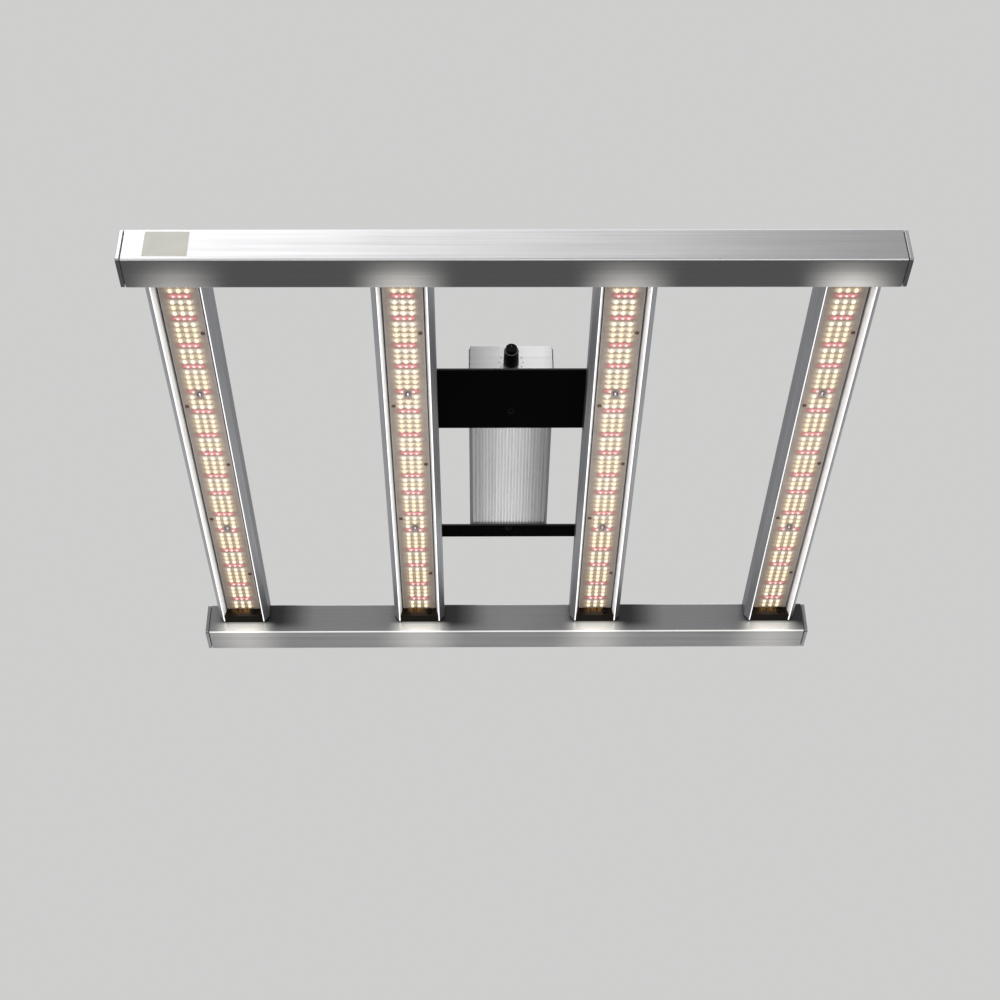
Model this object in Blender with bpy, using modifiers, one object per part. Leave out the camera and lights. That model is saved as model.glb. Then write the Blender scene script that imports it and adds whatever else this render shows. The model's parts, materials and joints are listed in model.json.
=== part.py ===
"""LED grow light: four LED bars between two hollow cross beams, with a dimmable
driver on two plates over the middle bars and four folding hanging rings.

Axes: +X (right) along the cross beams, +Y from the dimmer side (front) to the cable
side (rear), +Z up. Origin: centre of the fixture, on the plane of the beams' undersides.
Sizes and places are in millimetres and angles in degrees; objects are built in metres.
"""

import math

import bmesh
import bpy
from mathutils import Vector

MM = 0.001
GAP = 0.3                      # clearance between pieces that touch
SIDES = {"front": -1, "rear": 1}     # direction along Y
ENDS = {"left": -1, "right": 1}      # direction along X
SCREW_CLEARANCE_R = 2.4        # holes that the bolts and driver screws pass through
ALONG_Y = (90, 0, 0)           # local x -> world X, local y -> world Z, local z -> world -Y

# Cross beams: channel extrusions with an inset top cover
BEAM_LENGTH = 620.0
BEAM_DEPTH = 32.0
BEAM_HEIGHT = 34.5
BEAM_WALL = 2.0
INNER_LENGTH = 515.4           # between the beams' inner faces
LEDGE_BOTTOM, LEDGE_TOP, LEDGE_REACH = 31.8, 32.9, 2.2
INSERT_WIDTH = 26.8            # across the pieces that fit between a beam's walls

# LED bars: finned heat sink extrusions
BAR_PITCH = 182.5
BAR_HALF = 25.7
LIP_Z, LIP_IN, LIP_OUT = 12.3, 20.0, 21.1
SHOULDER_Z = 18.5
SEAT_HALF, SEAT_BOTTOM = 17.7, 21.3
WEB_BOTTOM, WEB_TOP = 23.4, 26.0
FIN_TOP = 35.0

# LED boards and the flanges of the bars' end blocks
BOARD_LENGTH, BOARD_HALF, BOARD_THICK = 491.0, 16.8, 1.6
FLANGE_THICK = 1.4

# Holes at the bars' ends
BOLT_Z = 28.3
WIRE_HOLE_X, WIRE_HOLE_Z, WIRE_HOLE_R = 10.0, 18.0, 2.2     # X is from the bar's middle

# Driver, its plates and its dimmer
PLATE_THICK = 2.0
PLATE_Y = {"front": (-117.0, -36.0), "rear": (117.2, 136.2)}
DRIVER_SCREW_Y = {"front": -60.0, "rear": 121.6}
DRIVER_FRONT_Y, DRIVER_REAR_Y = -101.0, 127.0
END_PLATE_THICK = 2.0
KNOB_Z = 58.0

# Hangers and leads
HANG_X = 225.0
LEAD_R = 3.4
LEAD_EXIT_X, LEAD_EXIT_Z = 20.0, 56.0

# Places that follow from the sizes above
BEAM_INNER_Y = INNER_LENGTH / 2
BEAM_MID_Y = BEAM_INNER_Y + BEAM_DEPTH / 2
BAR_X = [(i - 1.5) * BAR_PITCH for i in range(4)]
LEFT_MID_BAR_X, RIGHT_MID_BAR_X = BAR_X[1:3]
FLANGE_Y = BEAM_INNER_Y - GAP - FLANGE_THICK / 2
PLUG_END_Y = BOARD_LENGTH / 2 + GAP
PLATE_Z = FIN_TOP + GAP
DRIVER_Z = PLATE_Z + PLATE_THICK + GAP


# ---------------------------------------------------------------- scene set-up

for old in list(bpy.data.objects):
    bpy.data.objects.remove(old, do_unlink=True)


def new_collection(name):
    made = bpy.data.collections.new(name)
    bpy.context.scene.collection.children.link(made)
    return made


def material(name, rgb, roughness, metallic):
    made = bpy.data.materials.new(name)
    made.use_nodes = True
    shader = made.node_tree.nodes["Principled BSDF"]
    shader.inputs["Base Color"].default_value = (*rgb, 1.0)
    shader.inputs["Roughness"].default_value = roughness
    shader.inputs["Metallic"].default_value = metallic
    made.diffuse_color = (*rgb, 1.0)
    return made


PARTS = new_collection("led_grow_light")
CUTTERS = new_collection("led_grow_light_cutters")

BRUSHED = material("brushed_aluminium", rgb=(0.70, 0.70, 0.71), roughness=0.36, metallic=0.95)
BAR_METAL = material("bar_aluminium", rgb=(0.56, 0.57, 0.58), roughness=0.42, metallic=0.9)
BOARD_GREY = material("led_board", rgb=(0.50, 0.47, 0.43), roughness=0.5, metallic=0.1)
BLOCK_BLACK = material("end_block_plastic", rgb=(0.018, 0.015, 0.013), roughness=0.3,
                       metallic=0.0)
CAP_METAL = material("cap_aluminium", rgb=(0.72, 0.72, 0.73), roughness=0.36, metallic=0.9)
PLATE_BLACK = material("plate_powder_coat", rgb=(0.008, 0.008, 0.008), roughness=0.55,
                       metallic=0.2)
HOUSING_METAL = material("housing_aluminium", rgb=(0.58, 0.58, 0.58), roughness=0.45,
                         metallic=0.85)
PANEL_METAL = material("panel_aluminium", rgb=(0.74, 0.74, 0.74), roughness=0.4, metallic=0.8)
STEEL = material("zinc_steel", rgb=(0.55, 0.56, 0.58), roughness=0.32, metallic=1.0)
BLACK_STEEL = material("black_steel", rgb=(0.03, 0.03, 0.032), roughness=0.4, metallic=0.6)
KNOB_BLACK = material("knob_plastic", rgb=(0.01, 0.01, 0.01), roughness=0.38, metallic=0.0)
CABLE_BLACK = material("cable_jacket", rgb=(0.02, 0.02, 0.02), roughness=0.6, metallic=0.0)
CIRCUIT_GREEN = material("circuit_board", rgb=(0.03, 0.13, 0.06), roughness=0.45, metallic=0.0)
WIRE_WHITE = material("wire_jacket", rgb=(0.75, 0.75, 0.72), roughness=0.5, metallic=0.0)


# ------------------------------------------------------------ objects and meshes

def place(name, data, coll, mat=None, at=(0, 0, 0), turn=(0, 0, 0)):
    """An object in coll, at a point in mm and turned by angles in degrees."""
    obj = bpy.data.objects.new(name, data)
    coll.objects.link(obj)
    obj.location = Vector(at) * MM
    obj.rotation_euler = [math.radians(a) for a in turn]
    if mat:
        if obj.data.materials:
            obj.data.materials[0] = mat
        else:
            obj.data.materials.append(mat)
    if coll == CUTTERS:
        obj.hide_render = True
        obj.display_type = "WIRE"
    return obj


def evaluated_mesh(obj):
    bpy.context.view_layer.update()
    graph = bpy.context.evaluated_depsgraph_get()
    return bpy.data.meshes.new_from_object(obj.evaluated_get(graph))


def smooth(mesh, angle=35):
    """Smooth shading, with edges sharper than angle kept crisp."""
    mesh.shade_smooth()
    mesh.set_sharp_from_angle(angle=math.radians(angle))
    return mesh


def mesh_of(obj):
    """The welded mesh of a curve or modified object, which is then removed."""
    mesh = evaluated_mesh(obj)
    bm = bmesh.new()
    bm.from_mesh(mesh)
    bmesh.ops.remove_doubles(bm, verts=bm.verts, dist=1e-6)
    bmesh.ops.recalc_face_normals(bm, faces=bm.faces)
    bm.to_mesh(mesh)
    bm.free()
    bpy.data.objects.remove(obj, do_unlink=True)
    return mesh


def add_spline(curve, points, cyclic):
    """A polyline through 3D points in mm."""
    spline = curve.splines.new("POLY")
    spline.points.add(len(points) - 1)
    for point, co in zip(spline.points, points):
        point.co = (*(c * MM for c in co), 1)
    spline.use_cyclic_u = cyclic


def sheet(outlines, thickness):
    """A flat outline (with any holes after it) extruded both ways from its plane.

    The fill's triangles are merged back into flat faces, so that outlines with many
    points in one line stay sound when they are cut.
    """
    curve = bpy.data.curves.new("outline", "CURVE")
    curve.dimensions = "2D"
    curve.fill_mode = "BOTH"
    curve.extrude = thickness * MM / 2
    for points in outlines:
        add_spline(curve, [(x, y, 0) for x, y in points], cyclic=True)
    mesh = mesh_of(place("outline", curve, CUTTERS))
    bm = bmesh.new()
    bm.from_mesh(mesh)
    bmesh.ops.dissolve_limit(bm, angle_limit=math.radians(0.5), verts=bm.verts,
                             edges=bm.edges)
    bm.to_mesh(mesh)
    bm.free()
    return mesh


def tube(points, radius, cyclic=False):
    """A round wire through points."""
    curve = bpy.data.curves.new("path", "CURVE")
    curve.dimensions = "3D"
    curve.bevel_depth = radius * MM
    curve.bevel_resolution = 2
    curve.use_fill_caps = not cyclic
    add_spline(curve, points, cyclic)
    return smooth(mesh_of(place("path", curve, CUTTERS)), angle=50)


def turned(profile, steps=24):
    """A profile of (radius, height) pairs turned about Z."""
    mesh = bpy.data.meshes.new("profile")
    bm = bmesh.new()
    verts = [bm.verts.new((r * MM, 0, z * MM)) for r, z in profile]
    for pair in zip(verts, verts[1:]):
        bm.edges.new(pair)
    bm.to_mesh(mesh)
    bm.free()
    obj = place("profile", mesh, CUTTERS)
    screw = obj.modifiers.new("turn", "SCREW")
    screw.axis = "Z"
    screw.steps = screw.render_steps = steps
    screw.use_merge_vertices = True
    screw.merge_threshold = 1e-5
    screw.use_smooth_shade = True
    return smooth(mesh_of(obj))


def block(size):
    mesh = bpy.data.meshes.new("block")
    bm = bmesh.new()
    bmesh.ops.create_cube(bm, size=1.0)
    bmesh.ops.scale(bm, vec=Vector(size) * MM, verts=bm.verts)
    bm.to_mesh(mesh)
    bm.free()
    return mesh


def rod(radius, length, sides=16):
    """A cylinder along Z, centred on the origin."""
    mesh = bpy.data.meshes.new("rod")
    bm = bmesh.new()
    bmesh.ops.create_cone(bm, cap_ends=True, segments=sides, radius1=radius * MM,
                          radius2=radius * MM, depth=length * MM)
    bm.to_mesh(mesh)
    bm.free()
    return smooth(mesh)


# Long sections with many corners in one line need the manifold solver
MANY_IN_LINE = ("driver_housing", "front_beam_cover", "rear_beam_cover")


def boolean(obj, mesh, at, turn, name, operation):
    """Cuts a mesh from obj, or joins it. The mesh is placed in obj's own frame."""
    tool = place(obj.name + "_" + name, mesh, CUTTERS, None, at, turn)
    tool.parent = obj
    made = obj.modifiers.new(tool.name, "BOOLEAN")
    made.operation = operation
    made.object = tool
    made.solver = "MANIFOLD" if obj.name in MANY_IN_LINE else "EXACT"


def cut(obj, mesh, at=(0, 0, 0), turn=(0, 0, 0), name="cutter"):
    boolean(obj, mesh, at, turn, name, "DIFFERENCE")


def join(obj, mesh, at=(0, 0, 0), turn=(0, 0, 0), name="boss"):
    boolean(obj, mesh, at, turn, name, "UNION")


def frozen(obj, angle=35):
    """The finished mesh of an object made of joined and cut shapes, for its copies."""
    mesh = evaluated_mesh(obj)
    for tool in [m.object for m in obj.modifiers if m.type == "BOOLEAN"]:
        bpy.data.objects.remove(tool, do_unlink=True)
    bpy.data.objects.remove(obj, do_unlink=True)
    return smooth(mesh, angle)


# ------------------------------------------------------------ outlines and paths

def arc(cx, cy, r, start, end, steps):
    angles = [math.radians(start + (end - start) * i / steps) for i in range(steps + 1)]
    return [(cx + r * math.cos(angle), cy + r * math.sin(angle)) for angle in angles]


def circle(cx, cy, r, sides=16):
    return arc(cx, cy, r, 0, 360, sides)[:-1]


def rounded_rectangle(x0, y0, x1, y1, r, steps=3):
    return (arc(x1 - r, y0 + r, r, -90, 0, steps)
            + arc(x1 - r, y1 - r, r, 0, 90, steps)
            + arc(x0 + r, y1 - r, r, 90, 180, steps)
            + arc(x0 + r, y0 + r, r, 180, 270, steps))


def mirror(points):
    """The points reflected in x = 0, in reverse order."""
    return [(-x, y) for x, y in reversed(points)]


def flowing(points, steps):
    """A smooth path through points: Catmull-Rom, with steps pieces to a span."""
    knots = [Vector(p) for p in points]
    knots = [2 * knots[0] - knots[1]] + knots + [2 * knots[-1] - knots[-2]]
    path = []
    for before, start, end, after in zip(knots, knots[1:], knots[2:], knots[3:]):
        for s in range(steps):
            t = s / steps
            path.append(0.5 * ((2 * start) + (end - before) * t
                               + (2 * before - 5 * start + 4 * end - after) * t * t
                               + (3 * start - before - 3 * end + after) * t ** 3))
    return path + [knots[-2]]


# ---------------------------------------------------------------- cross beams

BEAM_EDGE_R = 1.9
COVER_BOTTOM, COVER_TOP = LEDGE_TOP + GAP, 34.4
COVER_RIB_BOTTOM, COVER_RIB_THICK = 31.6, 1.2
COVER_MID_Z = 33.5             # level of the tools that cut the cover
CAP_THICK = 3.2                # visible thickness of an end cap
CAP_EDGE_R = 2.1
CAP_PLUG_HEIGHT, CAP_PLUG_LENGTH = 28.6, 9.0
CAP_PLUG_Z = 16.7              # height of the plug's middle
CAP_PLUG_INSET = 5.0           # from the cap plate's middle to the plug's middle
HANGER_HOLE_R = 3.5


def beam_outline():
    """Channel section: bottom, two walls, and a ledge in each wall for the cover."""
    depth, height, wall, r = BEAM_DEPTH, BEAM_HEIGHT, BEAM_WALL, BEAM_EDGE_R
    shelf = wall + LEDGE_REACH
    half = [(depth / 2, wall), (depth - wall, wall), (depth - wall, LEDGE_BOTTOM),
            (depth - shelf, LEDGE_BOTTOM), (depth - shelf, LEDGE_TOP),
            (depth - wall, LEDGE_TOP), (depth - wall, height)]
    outer = (arc(r, height - r, r, 90, 180, 4)
             + arc(r, r, r, 180, 270, 4)
             + arc(depth - r, r, r, -90, 0, 4)
             + arc(depth - r, height - r, r, 0, 90, 4))
    return outer + half[::-1] + [(depth - x, z) for x, z in half[1:]]


def cover_outline():
    """A flat strip with two ribs below that stand between the beam's ledges."""
    edge = BEAM_WALL + GAP
    rib = edge + LEDGE_REACH
    rib_inner = rib + COVER_RIB_THICK
    half = [(edge, COVER_BOTTOM), (rib, COVER_BOTTOM), (rib, COVER_RIB_BOTTOM),
            (rib_inner, COVER_RIB_BOTTOM), (rib_inner, COVER_BOTTOM)]
    return (half + [(BEAM_DEPTH - x, z) for x, z in reversed(half)]
            + [(BEAM_DEPTH - edge, COVER_TOP), (edge, COVER_TOP)])


def beam_frame(way):
    """Place and turn whose local x runs outwards from the beam's inner face, local y
    up, and local z along world X at the rear but against it at the front."""
    return (0, way * BEAM_INNER_Y, 0), (90, 0, 180 - 90 * way)


def build_beam(side, way):
    at, turn = beam_frame(way)
    beam = place(side + "_beam", sheet([beam_outline()], BEAM_LENGTH), PARTS, BRUSHED,
                 at, turn)
    for i, x in enumerate(BAR_X, 1):
        cut(beam, rod(SCREW_CLEARANCE_R, 8.0, 12), (BEAM_WALL / 2, BOLT_Z, way * x),
            (0, 90, 0), "bolt_hole_%d" % i)
        if side == "rear":
            cut(beam, rod(WIRE_HOLE_R, 8.0, 10), (BEAM_WALL / 2, WIRE_HOLE_Z, x + WIRE_HOLE_X),
                (0, 90, 0), "wire_hole_%d" % i)


def build_cover(side, way):
    at, turn = beam_frame(way)
    cover = place(side + "_beam_cover", sheet([cover_outline()], BEAM_LENGTH), PARTS,
                  BRUSHED, at, turn)
    for i, x in enumerate((-HANG_X, HANG_X), 1):
        cut(cover, rod(HANGER_HOLE_R, 10.0), (BEAM_DEPTH / 2, COVER_MID_Z, x), (90, 0, 0),
            "hanger_hole_%d" % i)
    if side == "rear":
        cut(cover, rod(LEAD_R + 0.5, 10.0), (BEAM_DEPTH / 2, COVER_MID_Z, LEFT_MID_BAR_X),
            (90, 0, 0), "lead_hole")


def cap_mesh():
    """A rounded plate with a plug on its -Z side."""
    maker = place("cap_maker",
                  sheet([rounded_rectangle(0, 0, BEAM_DEPTH, BEAM_HEIGHT, CAP_EDGE_R)],
                        CAP_THICK), CUTTERS)
    join(maker, block((INSERT_WIDTH, CAP_PLUG_HEIGHT, CAP_PLUG_LENGTH)),
         (BEAM_DEPTH / 2, CAP_PLUG_Z, -CAP_PLUG_INSET))
    return frozen(maker)


def build_cross_beams():
    cap = cap_mesh()
    for side, way in SIDES.items():
        build_beam(side, way)
        build_cover(side, way)
        for end, end_way in ENDS.items():
            # the plate faces outwards; its plug points at the beam's middle
            place("beam_end_cap_%s_%s" % (side, end), cap, PARTS, CAP_METAL,
                  (end_way * (BEAM_LENGTH / 2 + GAP + CAP_THICK / 2),
                   way * BEAM_MID_Y - end_way * BEAM_DEPTH / 2, 0), (90, 0, 90 * end_way))


# ------------------------------------------------------------------- LED bars

FIN_THICK, OUTER_FIN_THICK = 1.4, 1.5
FIN_CENTRES = (8.1, 13.7, 19.3)
SLOT_HALF, SLOT_RIB, SLOT_TOP = 2.4, 1.6, 33.0     # screw slot along the bar's middle
LIP_BEVEL = 0.3
PLUG_PLAY = 0.4                # between an end block's plug and each side of the channel
BOLT_R, BOLT_HEAD_R, BOLT_HEAD, BOLT_REACH = 2.0, 3.2, 3.6, 17.0
BOLT_SOCKET_R = 1.75


def bar_outline():
    """Heat sink section: splayed lips below, a web for the board, fins on top."""
    half = [(0, WEB_BOTTOM), (SEAT_HALF, WEB_BOTTOM), (SEAT_HALF, SEAT_BOTTOM),
            (LIP_IN, LIP_Z), (LIP_OUT, LIP_Z), (LIP_OUT + LIP_BEVEL, LIP_Z + LIP_BEVEL),
            (BAR_HALF, SHOULDER_Z), (BAR_HALF, FIN_TOP),
            (BAR_HALF - OUTER_FIN_THICK, FIN_TOP), (BAR_HALF - OUTER_FIN_THICK, WEB_TOP)]
    for centre in reversed(FIN_CENTRES):
        outer, inner = centre + FIN_THICK / 2, centre - FIN_THICK / 2
        half += [(outer, WEB_TOP), (outer, FIN_TOP), (inner, FIN_TOP), (inner, WEB_TOP)]
    rib = SLOT_HALF + SLOT_RIB
    half += [(rib, WEB_TOP), (rib, SLOT_TOP), (SLOT_HALF, SLOT_TOP), (SLOT_HALF, WEB_TOP)]
    return half + mirror(half[1:])


def end_block_mesh():
    """A flange over the bar's end and a plug, on its +Z side, that closes the channel."""
    flange = [(LIP_OUT, LIP_Z), (BAR_HALF, SHOULDER_Z), (BAR_HALF, FIN_TOP - 0.3)]
    plug = [(LIP_IN - PLUG_PLAY, LIP_Z), (SEAT_HALF - PLUG_PLAY, SEAT_BOTTOM),
            (SEAT_HALF - PLUG_PLAY, WEB_BOTTOM - GAP)]
    plug_length = FLANGE_Y - PLUG_END_Y
    maker = place("block_maker", sheet([flange + mirror(flange)], FLANGE_THICK), CUTTERS)
    join(maker, sheet([plug + mirror(plug)], plug_length), (0, 0, plug_length / 2))
    cut(maker, rod(SCREW_CLEARANCE_R, 6.0, 12), (0, BOLT_Z, 0))
    cut(maker, rod(WIRE_HOLE_R, 40.0, 10), (WIRE_HOLE_X, WIRE_HOLE_Z, 0), name="wire_hole")
    return frozen(maker, angle=30)


def bolt_mesh():
    """A socket-head bolt, its head on the origin's +Z side."""
    maker = place("bolt_maker", turned([
        (0, BOLT_HEAD), (BOLT_HEAD_R, BOLT_HEAD), (BOLT_HEAD_R, 0), (BOLT_R, 0),
        (BOLT_R, -BOLT_REACH), (0, -BOLT_REACH)], 12), CUTTERS)
    cut(maker, rod(BOLT_SOCKET_R, 4.0, 6), (0, 0, BOLT_HEAD))
    return frozen(maker)


def build_led_bars():
    bar_end = BEAM_INNER_Y - GAP - FLANGE_THICK - GAP
    bar = sheet([bar_outline()], 2 * bar_end)
    board = sheet([rounded_rectangle(-BOARD_HALF, -BOARD_LENGTH / 2, BOARD_HALF,
                                     BOARD_LENGTH / 2, 1.0, 2)], BOARD_THICK)
    end_block = end_block_mesh()
    bolt = bolt_mesh()
    bolt_y = BEAM_INNER_Y + BEAM_WALL + GAP
    for i, x in enumerate(BAR_X, 1):
        place("led_bar_%d" % i, bar, PARTS, BAR_METAL, (x, 0, 0), ALONG_Y)
        place("led_board_%d" % i, board, PARTS, BOARD_GREY,
              (x, 0, WEB_BOTTOM - GAP - BOARD_THICK / 2))
        for side, way in SIDES.items():
            # the plug points at the bar's middle
            place("bar_end_block_%s_%d" % (side, i), end_block, PARTS, BLOCK_BLACK,
                  (x, way * FLANGE_Y, 0), (90, 0, 90 - 90 * way))
            place("bar_bolt_%s_%d" % (side, i), bolt, PARTS, STEEL,
                  (x, way * bolt_y, BOLT_Z), (-90 * way, 0, 0))


# -------------------------------------------------------------- driver plates

PLATE_LENGTH = 205.0
PLATE_HOLE_R = 2.6

# (radius, height) from the plate's face; the tool overshoots both faces
COUNTERSINK = [(0, 1.2), (4.3, 1.2), (4.3, 0.2), (2.4, -1.7), (2.4, -4.0), (0, -4.0)]
# (radius, height) from the underside of the head
PAN_SCREW = [(0, 2.4), (2.6, 2.2), (4.0, 0.8), (4.0, 0), (2.0, 0), (2.0, -9.6), (0, -10.4)]
PAN_SLOT_LENGTH, PAN_SLOT_WIDTH, PAN_SLOT_Z = 5.0, 0.9, 2.4
# (radius, height) from the flat face of the head
FLAT_SCREW = [(0, 0), (3.7, 0), (3.7, -0.2), (2.0, -1.9), (2.0, -5.6), (0, -5.6)]
FLAT_SOCKET_R = 1.3


def build_plate(side):
    """A flat bar across the two middle LED bars, with screw holes over their slots."""
    y0, y1 = PLATE_Y[side]
    mid, half_depth = (y0 + y1) / 2, (y1 - y0) / 2
    outline = rounded_rectangle(-PLATE_LENGTH / 2, -half_depth, PLATE_LENGTH / 2,
                                half_depth, 2.0, 2)
    holes = [circle(x, 0, PLATE_HOLE_R) for x in (LEFT_MID_BAR_X, RIGHT_MID_BAR_X)]
    plate = place("driver_plate_" + side, sheet([outline] + holes, PLATE_THICK), PARTS,
                  PLATE_BLACK, (0, mid, PLATE_Z + PLATE_THICK / 2))
    cut(plate, turned(COUNTERSINK, 16), (0, DRIVER_SCREW_Y[side] - mid, -PLATE_THICK / 2),
        (180, 0, 0), "screw_hole")


def pan_screw_mesh():
    """A pan-head screw with a cross recess."""
    maker = place("pan_maker", turned(PAN_SCREW, 12), CUTTERS)
    cut(maker, block((PAN_SLOT_LENGTH, PAN_SLOT_WIDTH, 2.4)), (0, 0, PAN_SLOT_Z))
    cut(maker, block((PAN_SLOT_WIDTH, PAN_SLOT_LENGTH, 2.4)), (0, 0, PAN_SLOT_Z), name="cross")
    return frozen(maker)


def flat_screw_mesh():
    """A countersunk screw with a six-sided socket."""
    maker = place("flat_maker", turned(FLAT_SCREW, 14), CUTTERS)
    cut(maker, rod(FLAT_SOCKET_R, 2.4, 6))
    return frozen(maker)


def build_driver_plates():
    pan_screw, flat_screw = pan_screw_mesh(), flat_screw_mesh()
    for side in SIDES:
        build_plate(side)
        # down into the bars' screw slots
        for end, x in (("left", LEFT_MID_BAR_X), ("right", RIGHT_MID_BAR_X)):
            place("plate_screw_%s_%s" % (side, end), pan_screw, PARTS, BLACK_STEEL,
                  (x, sum(PLATE_Y[side]) / 2, PLATE_Z + PLATE_THICK + GAP))
        # up into the driver's base
        place("driver_screw_" + side, flat_screw, PARTS, BLACK_STEEL,
              (0, DRIVER_SCREW_Y[side], PLATE_Z + 0.1), (180, 0, 0))


# --------------------------------------------------------------------- driver

DRIVER_HEIGHT = 40.0
DRIVER_HALF, DRIVER_BASE_HALF = 37.9, 35.0
DRIVER_WALL = 3.0
SIDE_CHAMFER_TOP, TOP_CHAMFER = 5.0, 2.0

# Grooves of the housing: half widths at the mouth and at the bottom, and depth
RIB_PITCH, RIB_COUNT = 3.0, 23
RIB_HALF_TIP, RIB_HALF_ROOT, RIB_DEPTH = 0.95, 1.15, 0.6
SIDE_GROOVE_Z = (12.0, 19.0, 26.0)      # lower edges
SIDE_GROOVE_WIDTH, SIDE_GROOVE_SLOPE, SIDE_GROOVE_DEPTH = 3.0, 0.6, 0.8
TOP_GROOVE_COUNT, TOP_GROOVE_PITCH = 8, 9.0
TOP_GROOVE_HALF, TOP_GROOVE_FLOOR_HALF, TOP_GROOVE_DEPTH = 1.6, 1.2, 1.4

# Cavity: its narrow lower part ends in shoulders that carry the circuit board
CAVITY_LOW_HALF, CAVITY_HALF, CAVITY_CHAMFER = 32.0, 35.4, 2.0
CAVITY_SHOULDER = 6.4
CAVITY_TOP = DRIVER_HEIGHT - DRIVER_WALL - 0.6

END_PLATE_HALF = 36.8
BUSH_HOLE_R, LEAD_HOLE_R = 3.8, 5.0

CIRCUIT_WIDTH, CIRCUIT_LENGTH, CIRCUIT_THICK = 70.0, 196.0, 1.6
CIRCUIT_Y = 18.0
# Component blocks: (width, length, height above the board), (x, y) on the board
COMPONENTS = (
    ((28.0, 32.0, 20.0), (-14.0, 20.0)),      # transformer
    ((24.0, 24.0, 16.0), (16.0, 56.0)),       # choke
    ((12.0, 60.0, 18.0), (28.0, -12.0)),      # heat spreader
    ((18.0, 12.0, 12.0), (-20.0, 80.0)),      # filter capacitor
    ((14.0, 10.0, 10.0), (20.0, 86.0)),       # inlet terminal
)
CAPACITOR_R, CAPACITOR_HEIGHT = 8.0, 22.0
CAPACITORS = ((-22.0, -14.0), (-2.0, -14.0), (-12.0, -36.0))      # (x, y) on the board


def housing_outline():
    """Outer section: ribbed base, chamfered lower edges, grooved sides and top."""
    base = []
    for i in range(RIB_COUNT):
        x = RIB_PITCH * (i - (RIB_COUNT - 1) / 2)
        base += [(x - RIB_HALF_TIP, 0), (x + RIB_HALF_TIP, 0)]
        if i < RIB_COUNT - 1:
            base += [(x + RIB_HALF_ROOT, RIB_DEPTH), (x + RIB_PITCH - RIB_HALF_ROOT, RIB_DEPTH)]
    side = [(DRIVER_BASE_HALF, 0), (DRIVER_HALF, SIDE_CHAMFER_TOP)]
    floor_x = DRIVER_HALF - SIDE_GROOVE_DEPTH
    for z in SIDE_GROOVE_Z:
        side += [(DRIVER_HALF, z), (floor_x, z + SIDE_GROOVE_SLOPE),
                 (floor_x, z + SIDE_GROOVE_WIDTH - SIDE_GROOVE_SLOPE),
                 (DRIVER_HALF, z + SIDE_GROOVE_WIDTH)]
    side += [(DRIVER_HALF, DRIVER_HEIGHT - TOP_CHAMFER),
             (DRIVER_HALF - TOP_CHAMFER, DRIVER_HEIGHT)]
    top = []
    floor_z = DRIVER_HEIGHT - TOP_GROOVE_DEPTH
    for i in range(TOP_GROOVE_COUNT):
        x = TOP_GROOVE_PITCH * ((TOP_GROOVE_COUNT - 1) / 2 - i)
        top += [(x + TOP_GROOVE_HALF, DRIVER_HEIGHT), (x + TOP_GROOVE_FLOOR_HALF, floor_z),
                (x - TOP_GROOVE_FLOOR_HALF, floor_z), (x - TOP_GROOVE_HALF, DRIVER_HEIGHT)]
    return base + side + top + mirror(side)


def cavity_outline():
    half = [(CAVITY_LOW_HALF, DRIVER_WALL), (CAVITY_LOW_HALF, CAVITY_SHOULDER),
            (CAVITY_HALF, CAVITY_SHOULDER), (CAVITY_HALF, CAVITY_TOP - CAVITY_CHAMFER),
            (CAVITY_HALF - CAVITY_CHAMFER, CAVITY_TOP)]
    return half + mirror(half)


def build_housing():
    front = DRIVER_FRONT_Y + END_PLATE_THICK + GAP
    rear = DRIVER_REAR_Y - END_PLATE_THICK - GAP
    mid = (front + rear) / 2
    housing = place("driver_housing", sheet([housing_outline(), cavity_outline()], rear - front),
                    PARTS, HOUSING_METAL, (0, mid, DRIVER_Z), ALONG_Y)
    for side, y in DRIVER_SCREW_Y.items():
        cut(housing, rod(SCREW_CLEARANCE_R, 9.0, 12), (0, 0, mid - y), (90, 0, 0),
            "screw_hole_" + side)


def build_end_plate(side, y, holes):
    outline = rounded_rectangle(-END_PLATE_HALF, 0.3, END_PLATE_HALF, DRIVER_HEIGHT - 0.2,
                                0.6, 2)
    place("driver_%s_plate" % side, sheet([outline] + holes, END_PLATE_THICK), PARTS,
          PANEL_METAL, (0, y, DRIVER_Z), ALONG_Y)


def build_circuit_board():
    """The board, lying on the housing's shoulders, with its large components."""
    half_thick = CIRCUIT_THICK / 2
    circuit = place("driver_circuit_board",
                    block((CIRCUIT_WIDTH, CIRCUIT_LENGTH, CIRCUIT_THICK)), PARTS,
                    CIRCUIT_GREEN,
                    (0, CIRCUIT_Y, DRIVER_Z + CAVITY_SHOULDER + GAP + half_thick))
    # each component starts from the board's mid-plane
    for i, ((width, length, height), (x, y)) in enumerate(COMPONENTS, 1):
        full = height + half_thick
        join(circuit, block((width, length, full)), (x, y, full / 2), name="component_%d" % i)
    for i, (x, y) in enumerate(CAPACITORS, 1):
        full = CAPACITOR_HEIGHT + half_thick
        join(circuit, rod(CAPACITOR_R, full), (x, y, full / 2), name="capacitor_%d" % i)


def build_driver():
    build_housing()
    build_end_plate("front", DRIVER_FRONT_Y + END_PLATE_THICK / 2,
                    [circle(0, KNOB_Z - DRIVER_Z, BUSH_HOLE_R)])
    build_end_plate("rear", DRIVER_REAR_Y - END_PLATE_THICK / 2,
                    [circle(way * LEAD_EXIT_X, LEAD_EXIT_Z - DRIVER_Z, LEAD_HOLE_R)
                     for way in (-1, 1)])
    build_circuit_board()


# --------------------------------------------------------------------- dimmer

PANEL_INNER_Y = DRIVER_FRONT_Y + END_PLATE_THICK
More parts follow.
